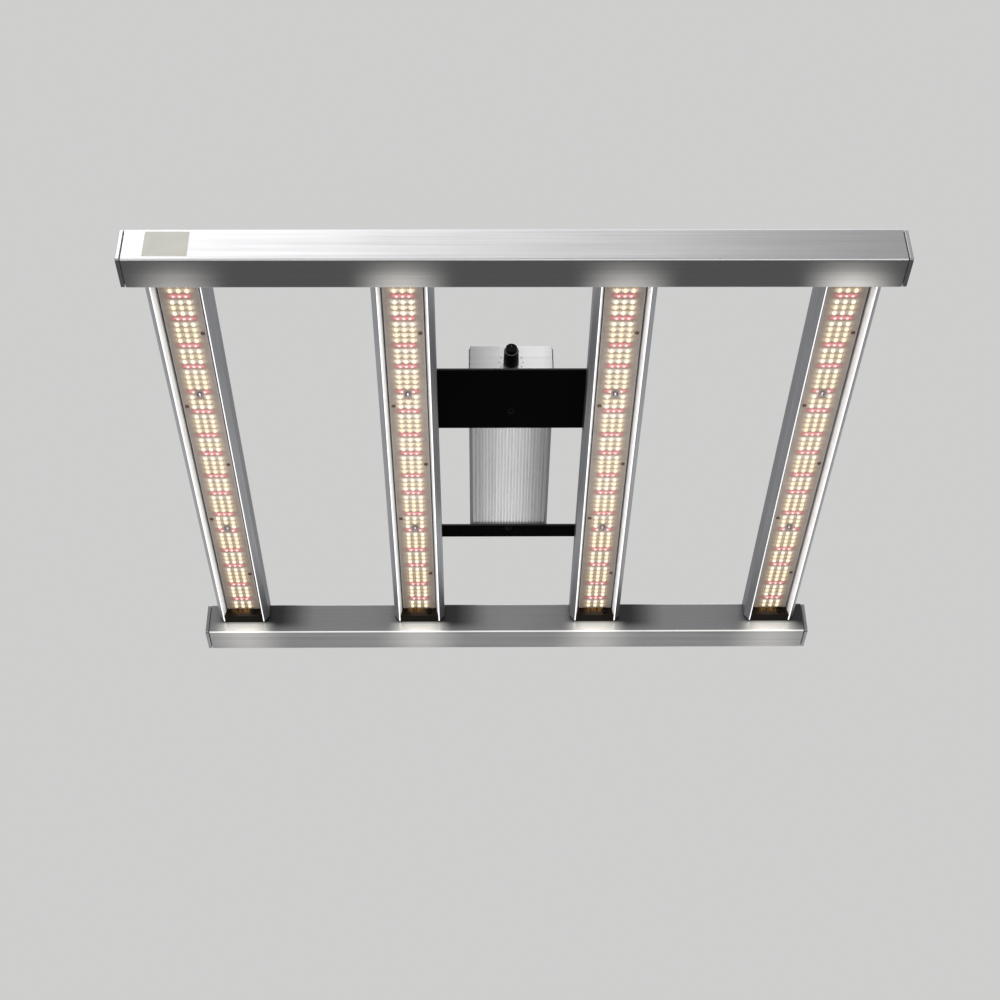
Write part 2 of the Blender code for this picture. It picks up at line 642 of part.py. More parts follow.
# (radius, height), heights forwards from the panel's inner face: a can behind the panel
# and a hollow bush through it
POTENTIOMETER = [(2.3, 4.6), (3.4, 4.6), (3.4, 0), (8.2, 0), (8.2, -8.0), (3.0, -8.0),
                 (3.0, -5.0), (2.3, -5.0), (2.3, 4.6)]
NUT_R, NUT_HOLE_R, NUT_HEIGHT = 5.4, 3.7, 2.0
SHAFT_R, SHAFT_TIP_R, SHAFT_COLLAR_R, SHAFT_COLLAR = 2.0, 1.6, 2.8, 1.6
SHAFT_BACK_Y, SHAFT_FRONT_Y = PANEL_INNER_Y + 7.3, DRIVER_FRONT_Y - 13.0

KNOB_BACK_Y = DRIVER_FRONT_Y - 0.6
KNOB_LENGTH, KNOB_R_BACK, KNOB_R_FRONT = 15.2, 6.9, 6.5
BOSS_LENGTH, BOSS_R = 4.2, 5.1
KNOB_BEVEL = 0.6
NUT_RECESS_R, NUT_RECESS_DEPTH = 5.8, 5.2
SHAFT_HOLE_R, SHAFT_HOLE_DEPTH = 2.3, 13.6
FLUTES, FLUTE_R, FLUTE_LENGTH, FLUTE_MID = 12, 0.7, 12.0, 12.0
FLUTE_START_ANGLE, FLUTE_OFFSET = 15, 0.55


def build_shaft():
    """A shaft with a bevelled front tip and a collar at its back end."""
    back = SHAFT_FRONT_Y - SHAFT_BACK_Y
    profile = [(0, 0), (SHAFT_TIP_R, 0), (SHAFT_R, -0.4), (SHAFT_R, back + SHAFT_COLLAR),
               (SHAFT_COLLAR_R, back + SHAFT_COLLAR), (SHAFT_COLLAR_R, back), (0, back)]
    place("dimmer_shaft", turned(profile, 16), PARTS, STEEL, (0, SHAFT_FRONT_Y, KNOB_Z),
          ALONG_Y)


def build_knob():
    """A tapered barrel with a raised boss, hollow behind for the nut and shaft."""
    front = KNOB_LENGTH + BOSS_LENGTH
    knob = place("dimmer_knob", turned([
        (0, front), (BOSS_R - KNOB_BEVEL, front), (BOSS_R, front - KNOB_BEVEL),
        (BOSS_R, KNOB_LENGTH), (KNOB_R_FRONT - KNOB_BEVEL, KNOB_LENGTH),
        (KNOB_R_FRONT, KNOB_LENGTH - KNOB_BEVEL), (KNOB_R_BACK, 0.5),
        (KNOB_R_BACK - 0.3, 0), (NUT_RECESS_R, 0), (NUT_RECESS_R, NUT_RECESS_DEPTH),
        (SHAFT_HOLE_R, NUT_RECESS_DEPTH), (SHAFT_HOLE_R, SHAFT_HOLE_DEPTH),
        (0, SHAFT_HOLE_DEPTH)], 24), PARTS, KNOB_BLACK, (0, KNOB_BACK_Y, KNOB_Z), ALONG_Y)
    reach = KNOB_R_FRONT + FLUTE_OFFSET
    for i in range(FLUTES):
        angle = math.radians(FLUTE_START_ANGLE + 360 * i / FLUTES)
        cut(knob, rod(FLUTE_R, FLUTE_LENGTH, 6),
            (reach * math.cos(angle), reach * math.sin(angle), FLUTE_MID),
            name="flute_%d" % (i + 1))


def build_dimmer():
    place("dimmer_potentiometer", turned(POTENTIOMETER, 20), PARTS, STEEL,
          (0, PANEL_INNER_Y + GAP, KNOB_Z), ALONG_Y)
    place("dimmer_nut", sheet([circle(0, 0, NUT_R, 6), circle(0, 0, NUT_HOLE_R)], NUT_HEIGHT),
          PARTS, STEEL, (0, DRIVER_FRONT_Y - GAP - NUT_HEIGHT / 2, KNOB_Z), ALONG_Y)
    build_shaft()
    build_knob()


# ---------------------------------------------------------- hanging hardware

SADDLE_WIDTH, SADDLE_DEPTH, SADDLE_TOP = 16.0, 11.0, 40.8
SADDLE_BEVEL = 1.6
STEM_R, STEM_LENGTH, STEM_MID_Z = 3.0, 8.0, 33.0
FOOT_WIDTH, FOOT_THICK = 10.0, 3.2
SADDLE_BOTTOM = BEAM_HEIGHT + GAP
SADDLE_MID_Z = (SADDLE_TOP + SADDLE_BOTTOM) / 2
RING_Z, RING_HOLE_R, RING_WIRE_R = 37.6, 2.0, 1.5
RING_HALF, RING_LEG, RING_CORNER = 8.0, 6.0, 1.5


def saddle_mesh():
    """A bevelled block over the beam, with a stem down to a foot under the ledges."""
    maker = place("saddle_maker",
                  block((SADDLE_WIDTH, SADDLE_DEPTH, SADDLE_TOP - SADDLE_BOTTOM)), CUTTERS)
    bevel = maker.modifiers.new("edges", "BEVEL")
    bevel.width = SADDLE_BEVEL * MM
    bevel.segments = 2
    join(maker, rod(STEM_R, STEM_LENGTH), (0, 0, STEM_MID_Z - SADDLE_MID_Z))
    join(maker, block((FOOT_WIDTH, INSERT_WIDTH, FOOT_THICK)),
         (0, 0, LEDGE_BOTTOM - GAP - FOOT_THICK / 2 - SADDLE_MID_Z), name="foot")
    cut(maker, rod(RING_HOLE_R, 20.0), (0, 0, RING_Z - SADDLE_MID_Z), (90, 0, 0))
    return frozen(maker, angle=40)


def ring_mesh():
    """A D-shaped ring whose straight side runs along Y through the origin."""
    start = [(0, -RING_HALF + RING_CORNER, 0), (RING_CORNER, -RING_HALF, 0)]
    bow = [(x, y, 0) for x, y in arc(RING_LEG, 0, RING_HALF, -90, 90, 12)]
    end = [(RING_CORNER, RING_HALF, 0), (0, RING_HALF - RING_CORNER, 0)]
    return tube(start + bow + end, RING_WIRE_R, cyclic=True)


def build_hangers():
    saddle, ring = saddle_mesh(), ring_mesh()
    for side, way in SIDES.items():
        for end, end_way in ENDS.items():
            x, y = end_way * HANG_X, way * BEAM_MID_Y
            place("hanging_saddle_%s_%s" % (side, end), saddle, PARTS, STEEL,
                  (x, y, SADDLE_MID_Z))
            # folded flat, pointing at the middle of the beam
            place("hanging_ring_%s_%s" % (side, end), ring, PARTS, STEEL, (x, y, RING_Z),
                  (0, 0, 90 + 90 * end_way))


# ---------------------------------------------------------------------- leads

# (radius, height), heights rearwards from the driver's rear face
STRAIN_RELIEF = [(0, 11.0), (4.2, 11.0), (4.9, 8.0), (4.9, 3.2), (7.6, 3.0), (7.6, 0.3),
                 (4.5, 0.3), (4.5, -4.0), (0, -4.0)]

CONNECTOR_Y, CONNECTOR_Z = 196.0, 44.6      # centre of the front opening
CONNECTOR_BORE_R = LEAD_R + 0.35
# (radius, height), heights rearwards from the front opening
CONNECTOR = [(0, 30.0), (5.8, 30.0), (5.8, 44.0), (7.4, 44.0), (7.9, 43.4), (7.9, 27.0),
             (8.6, 26.4), (8.6, 14.0), (8.0, 13.4), (8.0, 9.0), (5.6, 4.0), (5.2, 0),
             (CONNECTOR_BORE_R, 0), (CONNECTOR_BORE_R, 8.0), (0, 8.0)]

# Wires inside the rear beam
TRUNK_Y, TRUNK_Z = BEAM_MID_Y + 5.0, 8.0
TRUNK_R, RISER_R, TAIL_R = 2.6, 2.2, 1.4


def build_lead(name, way, rest):
    """A round lead from the driver's rear plate, with a moulded strain relief there."""
    x, rear = way * LEAD_EXIT_X, DRIVER_REAR_Y
    start = [(x, rear - 3.5, LEAD_EXIT_Z), (x, rear + 8, LEAD_EXIT_Z),
             (way * 31, rear + 17.5, 51.5), (way * 54, rear + 18, 48.5)]
    made = place(name, tube(flowing(start + rest, 2), LEAD_R), PARTS, CABLE_BLACK)
    join(made, turned(STRAIN_RELIEF, 20), (x, rear, LEAD_EXIT_Z), (-90, 0, 0), "relief")


def build_output_lead():
    """Runs rearwards over a middle bar and down into the rear beam."""
    x, rear = LEFT_MID_BAR_X, DRIVER_REAR_Y
    build_lead("output_lead", -1, [
        (-80, rear + 24, 45.5), (x, rear + 44, 41.0), (x, rear + 70, 39.4),
        (x, rear + 104, 39.4), (x, rear + 126, 40.2), (x, BEAM_MID_Y - 10, 42.0),
        (x, BEAM_MID_Y - 2.0, 39.5), (x, BEAM_MID_Y, 33.0), (x, BEAM_MID_Y, 24.0)])


def build_mains_lead():
    """Runs rearwards over the other middle bar to its connector."""
    x, rear = RIGHT_MID_BAR_X, DRIVER_REAR_Y
    build_lead("mains_lead", 1, [
        (80, rear + 26, 46.5), (x, rear + 44, 45.0),
        (x, CONNECTOR_Y - 12, CONNECTOR_Z), (x, CONNECTOR_Y + 7, CONNECTOR_Z)])
    place("mains_connector", turned(CONNECTOR, 24), PARTS, CABLE_BLACK,
          (x, CONNECTOR_Y, CONNECTOR_Z), (-90, 0, 0))


def build_harness():
    """A trunk along the rear beam, a riser to the output lead and a tail for each bar."""
    trunk_x = (BAR_X[0] - 8, BAR_X[0] + 60, BAR_X[3] - 60, BAR_X[3] + 22)
    harness = place("rear_wiring_harness",
                    tube([(x, TRUNK_Y, TRUNK_Z) for x in trunk_x], TRUNK_R), PARTS, WIRE_WHITE)
    x = LEFT_MID_BAR_X
    riser = [(x, BEAM_MID_Y, 23.7), (x, BEAM_MID_Y + 0.4, 17.0),
             (x + 2, TRUNK_Y - 1, TRUNK_Z + 2), (x + 9, TRUNK_Y, TRUNK_Z)]
    join(harness, tube(flowing(riser, 2), RISER_R), name="riser")
    for i, bar_x in enumerate(BAR_X, 1):
        x = bar_x + WIRE_HOLE_X
        tail = [(x + 6, TRUNK_Y, TRUNK_Z), (x + 2, TRUNK_Y - 3, TRUNK_Z + 3),
                (x, BEAM_MID_Y - 6, WIRE_HOLE_Z - 1), (x, BEAM_INNER_Y + 3, WIRE_HOLE_Z),
                (x, PLUG_END_Y + 0.4, WIRE_HOLE_Z)]
        join(harness, tube(flowing(tail, 1), TAIL_R), name="tail_%d" % i)


build_cross_beams()
build_led_bars()
build_driver_plates()
build_driver()
build_dimmer()
build_hangers()
build_output_lead()
build_mains_lead()
build_harness()
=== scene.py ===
"""Looks of an LED grow light, built around its CAD pieces.

Four lit bars run between a front and a rear beam, with the driver above them. The origin is
on the fixture's middle. X runs along the beams, Y along the bars from the front beam (-Y) to
the rear beam (+Y), and the lit side faces down (-Z). Scene lengths are in metres.
"""

import json
import math

import bmesh
import bpy
import numpy as np
from mathutils import Matrix, Vector

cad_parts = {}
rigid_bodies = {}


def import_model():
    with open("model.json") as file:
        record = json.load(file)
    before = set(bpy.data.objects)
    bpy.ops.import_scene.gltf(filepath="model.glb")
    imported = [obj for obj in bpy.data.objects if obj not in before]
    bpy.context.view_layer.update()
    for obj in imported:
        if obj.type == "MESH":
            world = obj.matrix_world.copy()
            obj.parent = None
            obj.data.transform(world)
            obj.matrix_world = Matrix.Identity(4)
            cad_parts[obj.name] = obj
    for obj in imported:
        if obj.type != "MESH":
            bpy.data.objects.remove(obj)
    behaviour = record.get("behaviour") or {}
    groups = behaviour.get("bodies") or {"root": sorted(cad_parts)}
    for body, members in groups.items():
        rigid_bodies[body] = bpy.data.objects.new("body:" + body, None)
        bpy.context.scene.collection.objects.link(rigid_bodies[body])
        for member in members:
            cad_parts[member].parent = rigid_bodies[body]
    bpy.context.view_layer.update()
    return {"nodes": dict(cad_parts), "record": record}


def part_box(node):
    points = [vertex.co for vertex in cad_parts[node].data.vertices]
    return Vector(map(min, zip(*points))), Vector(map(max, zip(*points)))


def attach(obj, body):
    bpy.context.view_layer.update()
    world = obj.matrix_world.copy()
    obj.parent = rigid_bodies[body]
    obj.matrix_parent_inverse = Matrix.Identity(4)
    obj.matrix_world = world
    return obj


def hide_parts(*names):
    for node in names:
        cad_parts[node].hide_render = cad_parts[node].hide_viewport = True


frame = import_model()
NODES = frame["nodes"]
SUBPARTS = frame["record"]["subparts"]
scene = bpy.context.scene

for extra in [o for o in bpy.data.objects if o.name in ("Cube", "Light", "Camera")]:
    bpy.data.objects.remove(extra, do_unlink=True)

MM = 0.001


# ========================================================== places in the frame

def middle(node):
    low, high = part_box(node)
    return (low + high) / 2


BAR_X = [middle("led_board_%d" % i).x for i in (1, 2, 3, 4)]
BAR_PITCH = BAR_X[1] - BAR_X[0]
INNER_BAR_X = 91.25                        # mm; the two middle bars stand at plus and minus this
BOARD_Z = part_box("led_board_1")[0].z       # the lit face looks down
LIP_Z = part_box("led_bar_1")[0].z           # the lowest edge of a bar
FRONT_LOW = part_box("front_beam")[0]
PANEL_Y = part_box("driver_front_plate")[0].y
KNOB_LOW, KNOB_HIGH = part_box("dimmer_knob")
KNOB = (KNOB_LOW + KNOB_HIGH) / 2

# LEDs stand in rows of three across a board; rows count from 1 at the front
ROWS, ROW_PITCH = 72, 6.75 * MM
MID_ROW = (ROWS + 1) / 2
WHITE_COLUMN, RED_COLUMN = 6.85 * MM, 5.15 * MM
FIRST_RED_ROW, RED_ROW_STEP = 3, 4.5
RED_ROWS = [int(FIRST_RED_ROW + RED_ROW_STEP * k) for k in range(16)]
SCREW_ROWS = (21.5, 51.5)                  # a screw takes the middle place of two rows


def row_y(n):
    return (n - MID_ROW) * ROW_PITCH


# ================================================================= shader nodes

def math_node(operation):
    """A method that adds a Math node to a value."""
    return lambda self, other=0.0: self.graph.math(operation, self, other)


class Value:
    """A node's output; operators and methods on it add further nodes.

    Comparisons give 1 or 0."""

    def __init__(self, graph, socket):
        self.graph = graph
        self.socket = socket

    __add__ = math_node("ADD")
    __sub__ = math_node("SUBTRACT")
    __mul__ = math_node("MULTIPLY")
    __truediv__ = math_node("DIVIDE")
    __lt__ = math_node("LESS_THAN")
    __gt__ = math_node("GREATER_THAN")
    __abs__ = math_node("ABSOLUTE")
    fract = math_node("FRACT")
    rounded = math_node("ROUND")
    sign = math_node("SIGN")
    sqrt = math_node("SQRT")
    minimum = math_node("MINIMUM")
    maximum = math_node("MAXIMUM")

    def __rsub__(self, other):
        return self.graph.math("SUBTRACT", other, self)

    def xyz(self):
        parts = self.graph.add("SeparateXYZ", {"Vector": self})
        return [Value(self.graph, parts.outputs[axis]) for axis in "XYZ"]

    def red(self):
        return self.graph.output("SeparateColor", 0, {"Color": self})

    def noise(self, scale, detail, roughness):
        return self.graph.output("TexNoise", "Fac", {
            "Vector": self, "Scale": scale, "Detail": detail, "Roughness": roughness})

    def streaks(self, along, slow, fast, detail, roughness):
        """Noise that changes slowly along one axis and fast across it."""
        scale = tuple(slow if axis == along else fast for axis in "XYZ")
        stretched = self.graph.output("Mapping", "Vector", {"Vector": self, "Scale": scale})
        return stretched.noise(1.0, detail, roughness)

    def voronoi(self, scale, **settings):
        return self.graph.output("TexVoronoi", "Distance", {"Vector": self, "Scale": scale},
                                 **settings)

    def ramp(self, stops):
        """Colours by value, from (position, colour) stops."""
        made = self.graph.add("ValToRGB", {"Fac": self})
        elements = made.color_ramp.elements
        while len(elements) > 1:
            elements.remove(elements[-1])
        elements[0].position = stops[0][0]
        elements[0].color = (*stops[0][1], 1.0)
        for position, colour in stops[1:]:
            elements.new(position).color = (*colour, 1.0)
        return Value(self.graph, made.outputs["Color"])

    def grade(self, stops, unit=1.0):
        """Grey levels by value, from (value in units, level) stops."""
        low, high = stops[0][0], stops[-1][0]
        return self.remap((low * unit, high * unit)).ramp(
            [((value - low) / (high - low), grey(level)) for value, level in stops])

    def remap(self, span, to=(0.0, 1.0), smooth=False):
        """Map the span onto another, held at its ends."""
        return self.graph.output(
            "MapRange", "Result",
            {"Value": self, "From Min": span[0], "From Max": span[1],
             "To Min": to[0], "To Max": to[1]},
            interpolation_type="SMOOTHSTEP" if smooth else "LINEAR")

    def blend(self, nothing, full):
        """A colour between two, with this value as the share of the second."""
        return self.graph.mix(self, nothing, full, "MIX")

    def tinted(self, colour):
        return self.graph.mix(1.0, self, colour, "MULTIPLY")

    def bump(self, strength, distance):
        return self.graph.output("Bump", "Normal", {
            "Height": self, "Strength": strength, "Distance": distance})


class Graph:
    """Adds nodes to the tree of a material, world or light."""

    def __init__(self, owner):
        owner.use_nodes = True
        self.tree = owner.node_tree

    def restart(self, kind):
        """Clear the tree, and return the surface socket of a new output node."""
        self.tree.nodes.clear()
        return self.add(kind).inputs["Surface"]

    def link(self, value, socket):
        if isinstance(value, Value):
            self.tree.links.new(value.socket, socket)
        elif socket.type == "RGBA":
            socket.default_value = (*value, 1.0)
        else:
            socket.default_value = value

    def add(self, kind, inputs=None, **settings):
        made = self.tree.nodes.new("ShaderNode" + kind)
        for key, setting in settings.items():
            setattr(made, key, setting)
        for key, value in (inputs or {}).items():
            self.link(value, made.inputs[key])
        return made

    def output(self, kind, name, inputs=None, **settings):
        """Add a node and return one of its outputs."""
        return Value(self, self.add(kind, inputs, **settings).outputs[name])

    def math(self, operation, first, second):
        return self.output("Math", 0, {0: first, 1: second, 2: 0.0}, operation=operation)

    def mix(self, factor, first, second, kind):
        # 6, 7 and 2 are the Mix node's colour sockets
        return self.output("Mix", 2, {"Factor": factor, 6: first, 7: second},
                           data_type="RGBA", blend_type=kind)


class Material(Graph):
    def __init__(self, name):
        self.material = bpy.data.materials.new(name)
        super().__init__(self.material)
        self.surface = self.restart("OutputMaterial")

    def position(self):
        """Object coordinates, which are the row frame for a piece at the origin."""
        return self.output("TexCoord", "Object")

    def normal(self, kind="True Normal"):
        return self.output("NewGeometry", kind).xyz()

    def finish(self, sampled=True, **inputs):
        """Close with a Principled shader; sampled says whether its glow is sampled as a lamp."""
        shader = self.output("BsdfPrincipled", "BSDF", {
            key.replace("_", " "): value for key, value in inputs.items()})
        self.link(shader, self.surface)
        if not sampled:
            self.material.cycles.emission_sampling = "NONE"
        return self.material


def grey(level):
    return (level, level, level)


def from_bar(x):
    """Distance along X from the nearest bar's centre line."""
    return ((x / BAR_PITCH).fract() - 0.5) * BAR_PITCH


# ================================================================== materials

# distance from a bar's centre line in mm, level
REAR_BEAM_SHADE = (
    (-INNER_BAR_X, 0.91), (-70.0, 0.91), (-45.0, 0.86), (-32.0, 0.80), (-22.0, 0.50),
    (22.0, 0.13), (38.0, 0.15), (46.0, 0.27), (54.0, 0.43), (62.0, 0.67), (72.0, 0.88),
    (INNER_BAR_X, 0.91))


def rear_beam_light(look, place):
    """On the rear beam's inner face: shadows beside the bars, and light below their ends."""
    x, _, z = place.xyz()
    across = from_bar(x)
    inner = look.normal("Normal")[1].remap((-0.35, -0.85))
    level = across.grade(REAR_BEAM_SHADE, MM)
    depth = inner * z.remap((1.0 * MM, 13.0 * MM), to=(0.25, 1.0), smooth=True)
    level = depth.blend(grey(0.95), level)
    glow_top = LIP_Z + 0.3 * MM
    below = z.remap((glow_top, LIP_Z - 3.2 * MM), to=(0.35, 1.0), smooth=True)
    below = below * (z < glow_top)
    glow = inner * below * abs(across).remap((9.0 * MM, 35.0 * MM), to=(1.0, 0.0), smooth=True)
    _, rearward, upward = look.normal("Normal")
    # the rounded lower edge catches the most light
    edge = (rearward * -1.0).maximum(0.0) * (upward * -1.0).maximum(0.0)
    edge = edge.remap((0.12, 0.42), to=(0.0, 0.72))
    # painted light on the bottom face near each bar
    under = upward.remap((-0.6, -0.95))
    under = under * abs(across).remap((0.0, 50.0 * MM), to=(0.36, 0.0), smooth=True)
    return level, glow + under + edge


def brushed(name, light, dark, along, rough, metallic, fine=1.0, grain=0.05, anisotropy=0.55,
            shade=None, shade_below=False, spill=None):
    """Brushed metal: fine streaks along one axis, with slow changes of tone.

    fine scales the streaks and grain is their depth. shade holds (x in mm, level) stops, and
    shade_below keeps it to the faces that look down. spill gives a level and a glow."""
    look = Material(name)
    place = look.position()
    streak = place.streaks(along, slow=6.0 * fine, fast=900.0 * fine, detail=3.0,
                           roughness=0.65)
    band = place.streaks(along, slow=1.2, fast=160.0, detail=2.0, roughness=0.5)
    cloud = place.noise(scale=9.0, detail=3.0, roughness=0.5)
    tone = streak * 0.5 + (band * 0.3 + cloud * 0.2)
    colour = tone.ramp([(0.30, dark), (0.68, light)])
    if shade:
        level = place.xyz()[0].grade(shade, MM)
        if shade_below:
            down = (look.normal()[2] * -1.0).remap((0.3, 0.8))
            level = down.blend(grey(0.8), level)
        colour = colour.tinted(level)
    glowing = {}
    if spill:
        level, glow = spill(look, place)
        colour = colour.tinted(level)
        glowing = {"Emission_Color": (1.0, 0.975, 0.90), "Emission_Strength": glow * 0.60}
    return look.finish(
        sampled=False, Base_Color=colour, Metallic=metallic,
        Roughness=tone.remap((0.25, 0.75), to=(rough + 0.09, rough - 0.07)),
        Normal=streak.bump(strength=grain * 6, distance=0.12 * MM), Anisotropic=anisotropy,
        Tangent=look.output("Tangent", "Tangent", direction_type="RADIAL", axis=along),
        **glowing)


def plastic(name, colour, paler, rough, texture, scale=1400.0, specular=0.5):
    """Moulded plastic: a fine spark texture and slightly uneven gloss."""
    look = Material(name)
    place = look.position()
    spark = place.noise(scale=scale, detail=2.0, roughness=0.6)
    cloud = place.noise(scale=60.0, detail=3.0, roughness=0.5)
    return look.finish(
        Base_Color=cloud.ramp([(0.35, colour), (0.72, paler)]),
        Roughness=cloud.remap((0.3, 0.7), to=(rough - 0.05, rough + 0.07)),
        Normal=spark.bump(strength=texture, distance=0.06 * MM),
        Coat_Roughness=0.15, Specular_IOR_Level=specular)


def bar_material():
    """Extruded bar: drawn lengthwise streaks, and inner walls painted white with a painted glow,
    for the LEDs' light on them.
    """
    look = Material("bar_extrusion")
    place = look.position()
    x, _, z = place.xyz()
    streak = place.streaks("Y", slow=5.0, fast=900.0, detail=3.0, roughness=0.6)
    die = place.streaks("Y", slow=0.6, fast=420.0, detail=2.0, roughness=0.5)
    cloud = place.noise(scale=12.0, detail=2.0, roughness=0.5)
    tone = streak * 0.35 + (die * 0.45 + cloud * 0.2)
    metal = tone.ramp([(0.3, (0.50, 0.51, 0.525)), (0.7, (0.70, 0.71, 0.73))])
    across = abs(from_bar(x))
    inside = (across < 20.9 * MM) * (z < BOARD_Z - 0.1 * MM)
    # painted light: the inner walls' paler, less metallic colour stands in for the LEDs' light on
    # them
    white = streak.ramp([(0.3, (0.60, 0.62, 0.635)), (0.7, (0.83, 0.855, 0.87))])
    # the lips' tips glow with the light that leaves the channel
    tip = inside * z.remap((LIP_Z + 0.5 * MM, LIP_Z + 0.15 * MM))
    # painted shade: the outer side walls are darker
    upright = (abs(look.normal()[0]) > 0.97) * (across > 22.0 * MM)
    metal = upright.blend(metal, metal.tinted((0.70, 0.70, 0.71)))
    # painted glow on the inner walls below the board, for the LEDs' light on them
    wall = inside * z.remap((BOARD_Z - 1.8 * MM, BOARD_Z - 2.8 * MM), to=(0.0, 0.28))
    return look.finish(
        sampled=False, Base_Color=inside.blend(metal, white),
        Roughness=inside.blend(tone.remap((0.3, 0.7), to=(0.5, 0.36)), grey(0.42)).red(),
        Metallic=inside.remap((0.0, 1.0), to=(0.9, 0.1)),
        Normal=streak.bump(strength=0.25, distance=0.08 * MM),
        Emission_Color=(1.0, 0.975, 0.97), Emission_Strength=tip + wall)


def board_material():
    """LED board: satin taupe mask with copper runs under it, lit around each LED."""
    look = Material("led_board_mask")
    place = look.position()
    x, y, _ = place.xyz()
    across = from_bar(x)
    row_place = y / ROW_PITCH + MID_ROW
    row = row_place.rounded()
    along = (row_place - row) * ROW_PITCH

    def row_phase(first):
        """The row's place in the cycle of red rows, near 0.15 at the first."""
        return ((row - first) / RED_ROW_STEP + 0.15).fract()

    red = row_phase(FIRST_RED_ROW) < 0.2
    in_rows = abs(row_place - MID_ROW) < ROWS / 2

    def nearest_led(step, squash):
        """Distance to the nearest LED, and its column as -1, 0 or 1."""
        column = (across / step).rounded().maximum(-1.0).minimum(1.0)
        aside = (across - column * step) * squash
        return (aside * aside + along * along).sqrt(), column

    white_far, white_column = nearest_led(WHITE_COLUMN, squash=0.85)
    red_far, _ = nearest_led(RED_COLUMN, squash=0.62)
    # the places where a screw stands instead of an LED
    off_centre = abs(row_place - MID_ROW)
    screw = (abs(off_centre - (MID_ROW - SCREW_ROWS[0])) < 1.0) * (abs(white_column) < 0.5)
    lit = in_rows * (1.0 - screw)

    def pool(distance, inner, outer):
        """Light that fades out between two distances in mm."""
        return lit * distance.remap((inner * MM, outer * MM), to=(1.0, 0.0), smooth=True)

    near = pool(white_far, inner=2.0, outer=3.6)
    wide = pool(white_far, inner=2.4, outer=6.6)
    red_near = pool(red_far, inner=1.0, outer=3.0)
    red_wide = pool(red_far, inner=1.8, outer=5.2)
    after_red = abs(row_phase(FIRST_RED_ROW + 1.0) - 0.1) < 0.11

    cloud = place.noise(scale=45.0, detail=4.0, roughness=0.6)
    fine = place.noise(scale=900.0, detail=2.0, roughness=0.5)
    mottle = place.noise(scale=330.0, detail=3.0, roughness=0.6)
    tone = cloud * 0.6 + mottle * 0.4
    mask = tone.ramp([(0.35, (0.250, 0.215, 0.188)), (0.65, (0.385, 0.340, 0.300))])
    pinker = place.noise(scale=210.0, detail=2.0, roughness=0.5).ramp(
        [(0.42, grey(0.0)), (0.60, grey(1.0))])
    mask = (pinker.red() * 0.30).blend(mask, (0.40, 0.30, 0.27))
    # copper runs: long lines at the sides and short ones between the rows
    links_reach = 9.9 * MM
    runs = (abs(across) > links_reach) * ((across / (2.35 * MM)).fract() < 0.82)
    links = (abs(across) < links_reach) * (abs(along) < 2.6 * MM)
    copper = runs * 0.35 + links * 0.5
    mask = copper.blend(mask, (0.37, 0.315, 0.265))
    mask = (abs(across) > 16.0 * MM).blend(mask, (0.40, 0.40, 0.39))
    # painted red light: the mask turns red around the red LEDs
    mask = (red * red_wide * 0.8).blend(mask, (0.38, 0.17, 0.165))

    def halo(close, spread, faint, strong):
        return close.blend(spread.blend(grey(0.0), faint), strong)

    warm = halo(near, wide, faint=(0.15, 0.100, 0.048), strong=(0.56, 0.40, 0.21))
    cool = halo(near, wide, faint=(0.13, 0.105, 0.068), strong=(0.54, 0.43, 0.29))
    pink = halo(red_near, red_wide, faint=(0.16, 0.032, 0.040), strong=(0.64, 0.150, 0.175))
    return look.finish(
        sampled=False, Base_Color=mask, Roughness=cloud.remap((0.3, 0.7), to=(0.52, 0.42)),
        Normal=(copper * 0.8 + fine * 0.25).bump(strength=0.35, distance=0.08 * MM),
        Emission_Color=red.blend(after_red.blend(warm, cool), pink), Emission_Strength=1.0)


def lens_material(name, rim, body, core):
    """A lit LED lens, brightest where it points down."""
    look = Material(name)
    upward = look.normal("Normal")[2]
    facing = 1.0 - look.output("LayerWeight", "Facing", {"Blend": 0.5})
    speck = look.position().noise(scale=420.0, detail=1.0, roughness=0.5)
    level = upward * -0.35 + facing * 0.65 + (speck - 0.5) * 0.2
    return look.finish(
        sampled=False, Base_Color=(0.10, 0.09, 0.07), Roughness=0.25,
        Emission_Color=level.ramp([(0.12, rim), (0.46, body), (0.74, core)]),
        Emission_Strength=1.0)


def zinc(name, light, dark, rough):
    """Spangled metal plating."""
    look = Material(name)
    place = look.position()
    spangle = place.voronoi(scale=520.0)
    cloud = place.noise(scale=140.0, detail=4.0, roughness=0.6)
    tone = spangle * 0.4 + cloud * 0.6
    return look.finish(
        Base_Color=tone.ramp([(0.2, dark), (0.7, light)]), Metallic=1.0,
        Roughness=tone.remap((0.2, 0.7), to=(rough + 0.12, rough - 0.05)),
        Normal=cloud.bump(strength=0.15, distance=0.08 * MM))


def coated(name, colour, paler, rough):
    """Powder coat: orange peel with a soft sheen."""
    look = Material(name)
    place = look.position()
    peel = place.noise(scale=620.0, detail=3.0, roughness=0.55)
    cloud = place.noise(scale=18.0, detail=3.0, roughness=0.5)
    tone = cloud.ramp([(0.3, colour), (0.75, paler)])
    # painted highlight: the faces that look to the front, the plates' front edges, are a lighter
    # grey
    edge = look.normal()[1].remap((-0.5, -0.9))
    return look.finish(
        Base_Color=edge.blend(tone, (0.10, 0.10, 0.105)),
        Roughness=peel.remap((0.3, 0.7), to=(rough - 0.06, rough + 0.08)),
        Normal=peel.bump(strength=0.5, distance=0.12 * MM), Specular_IOR_Level=0.10)


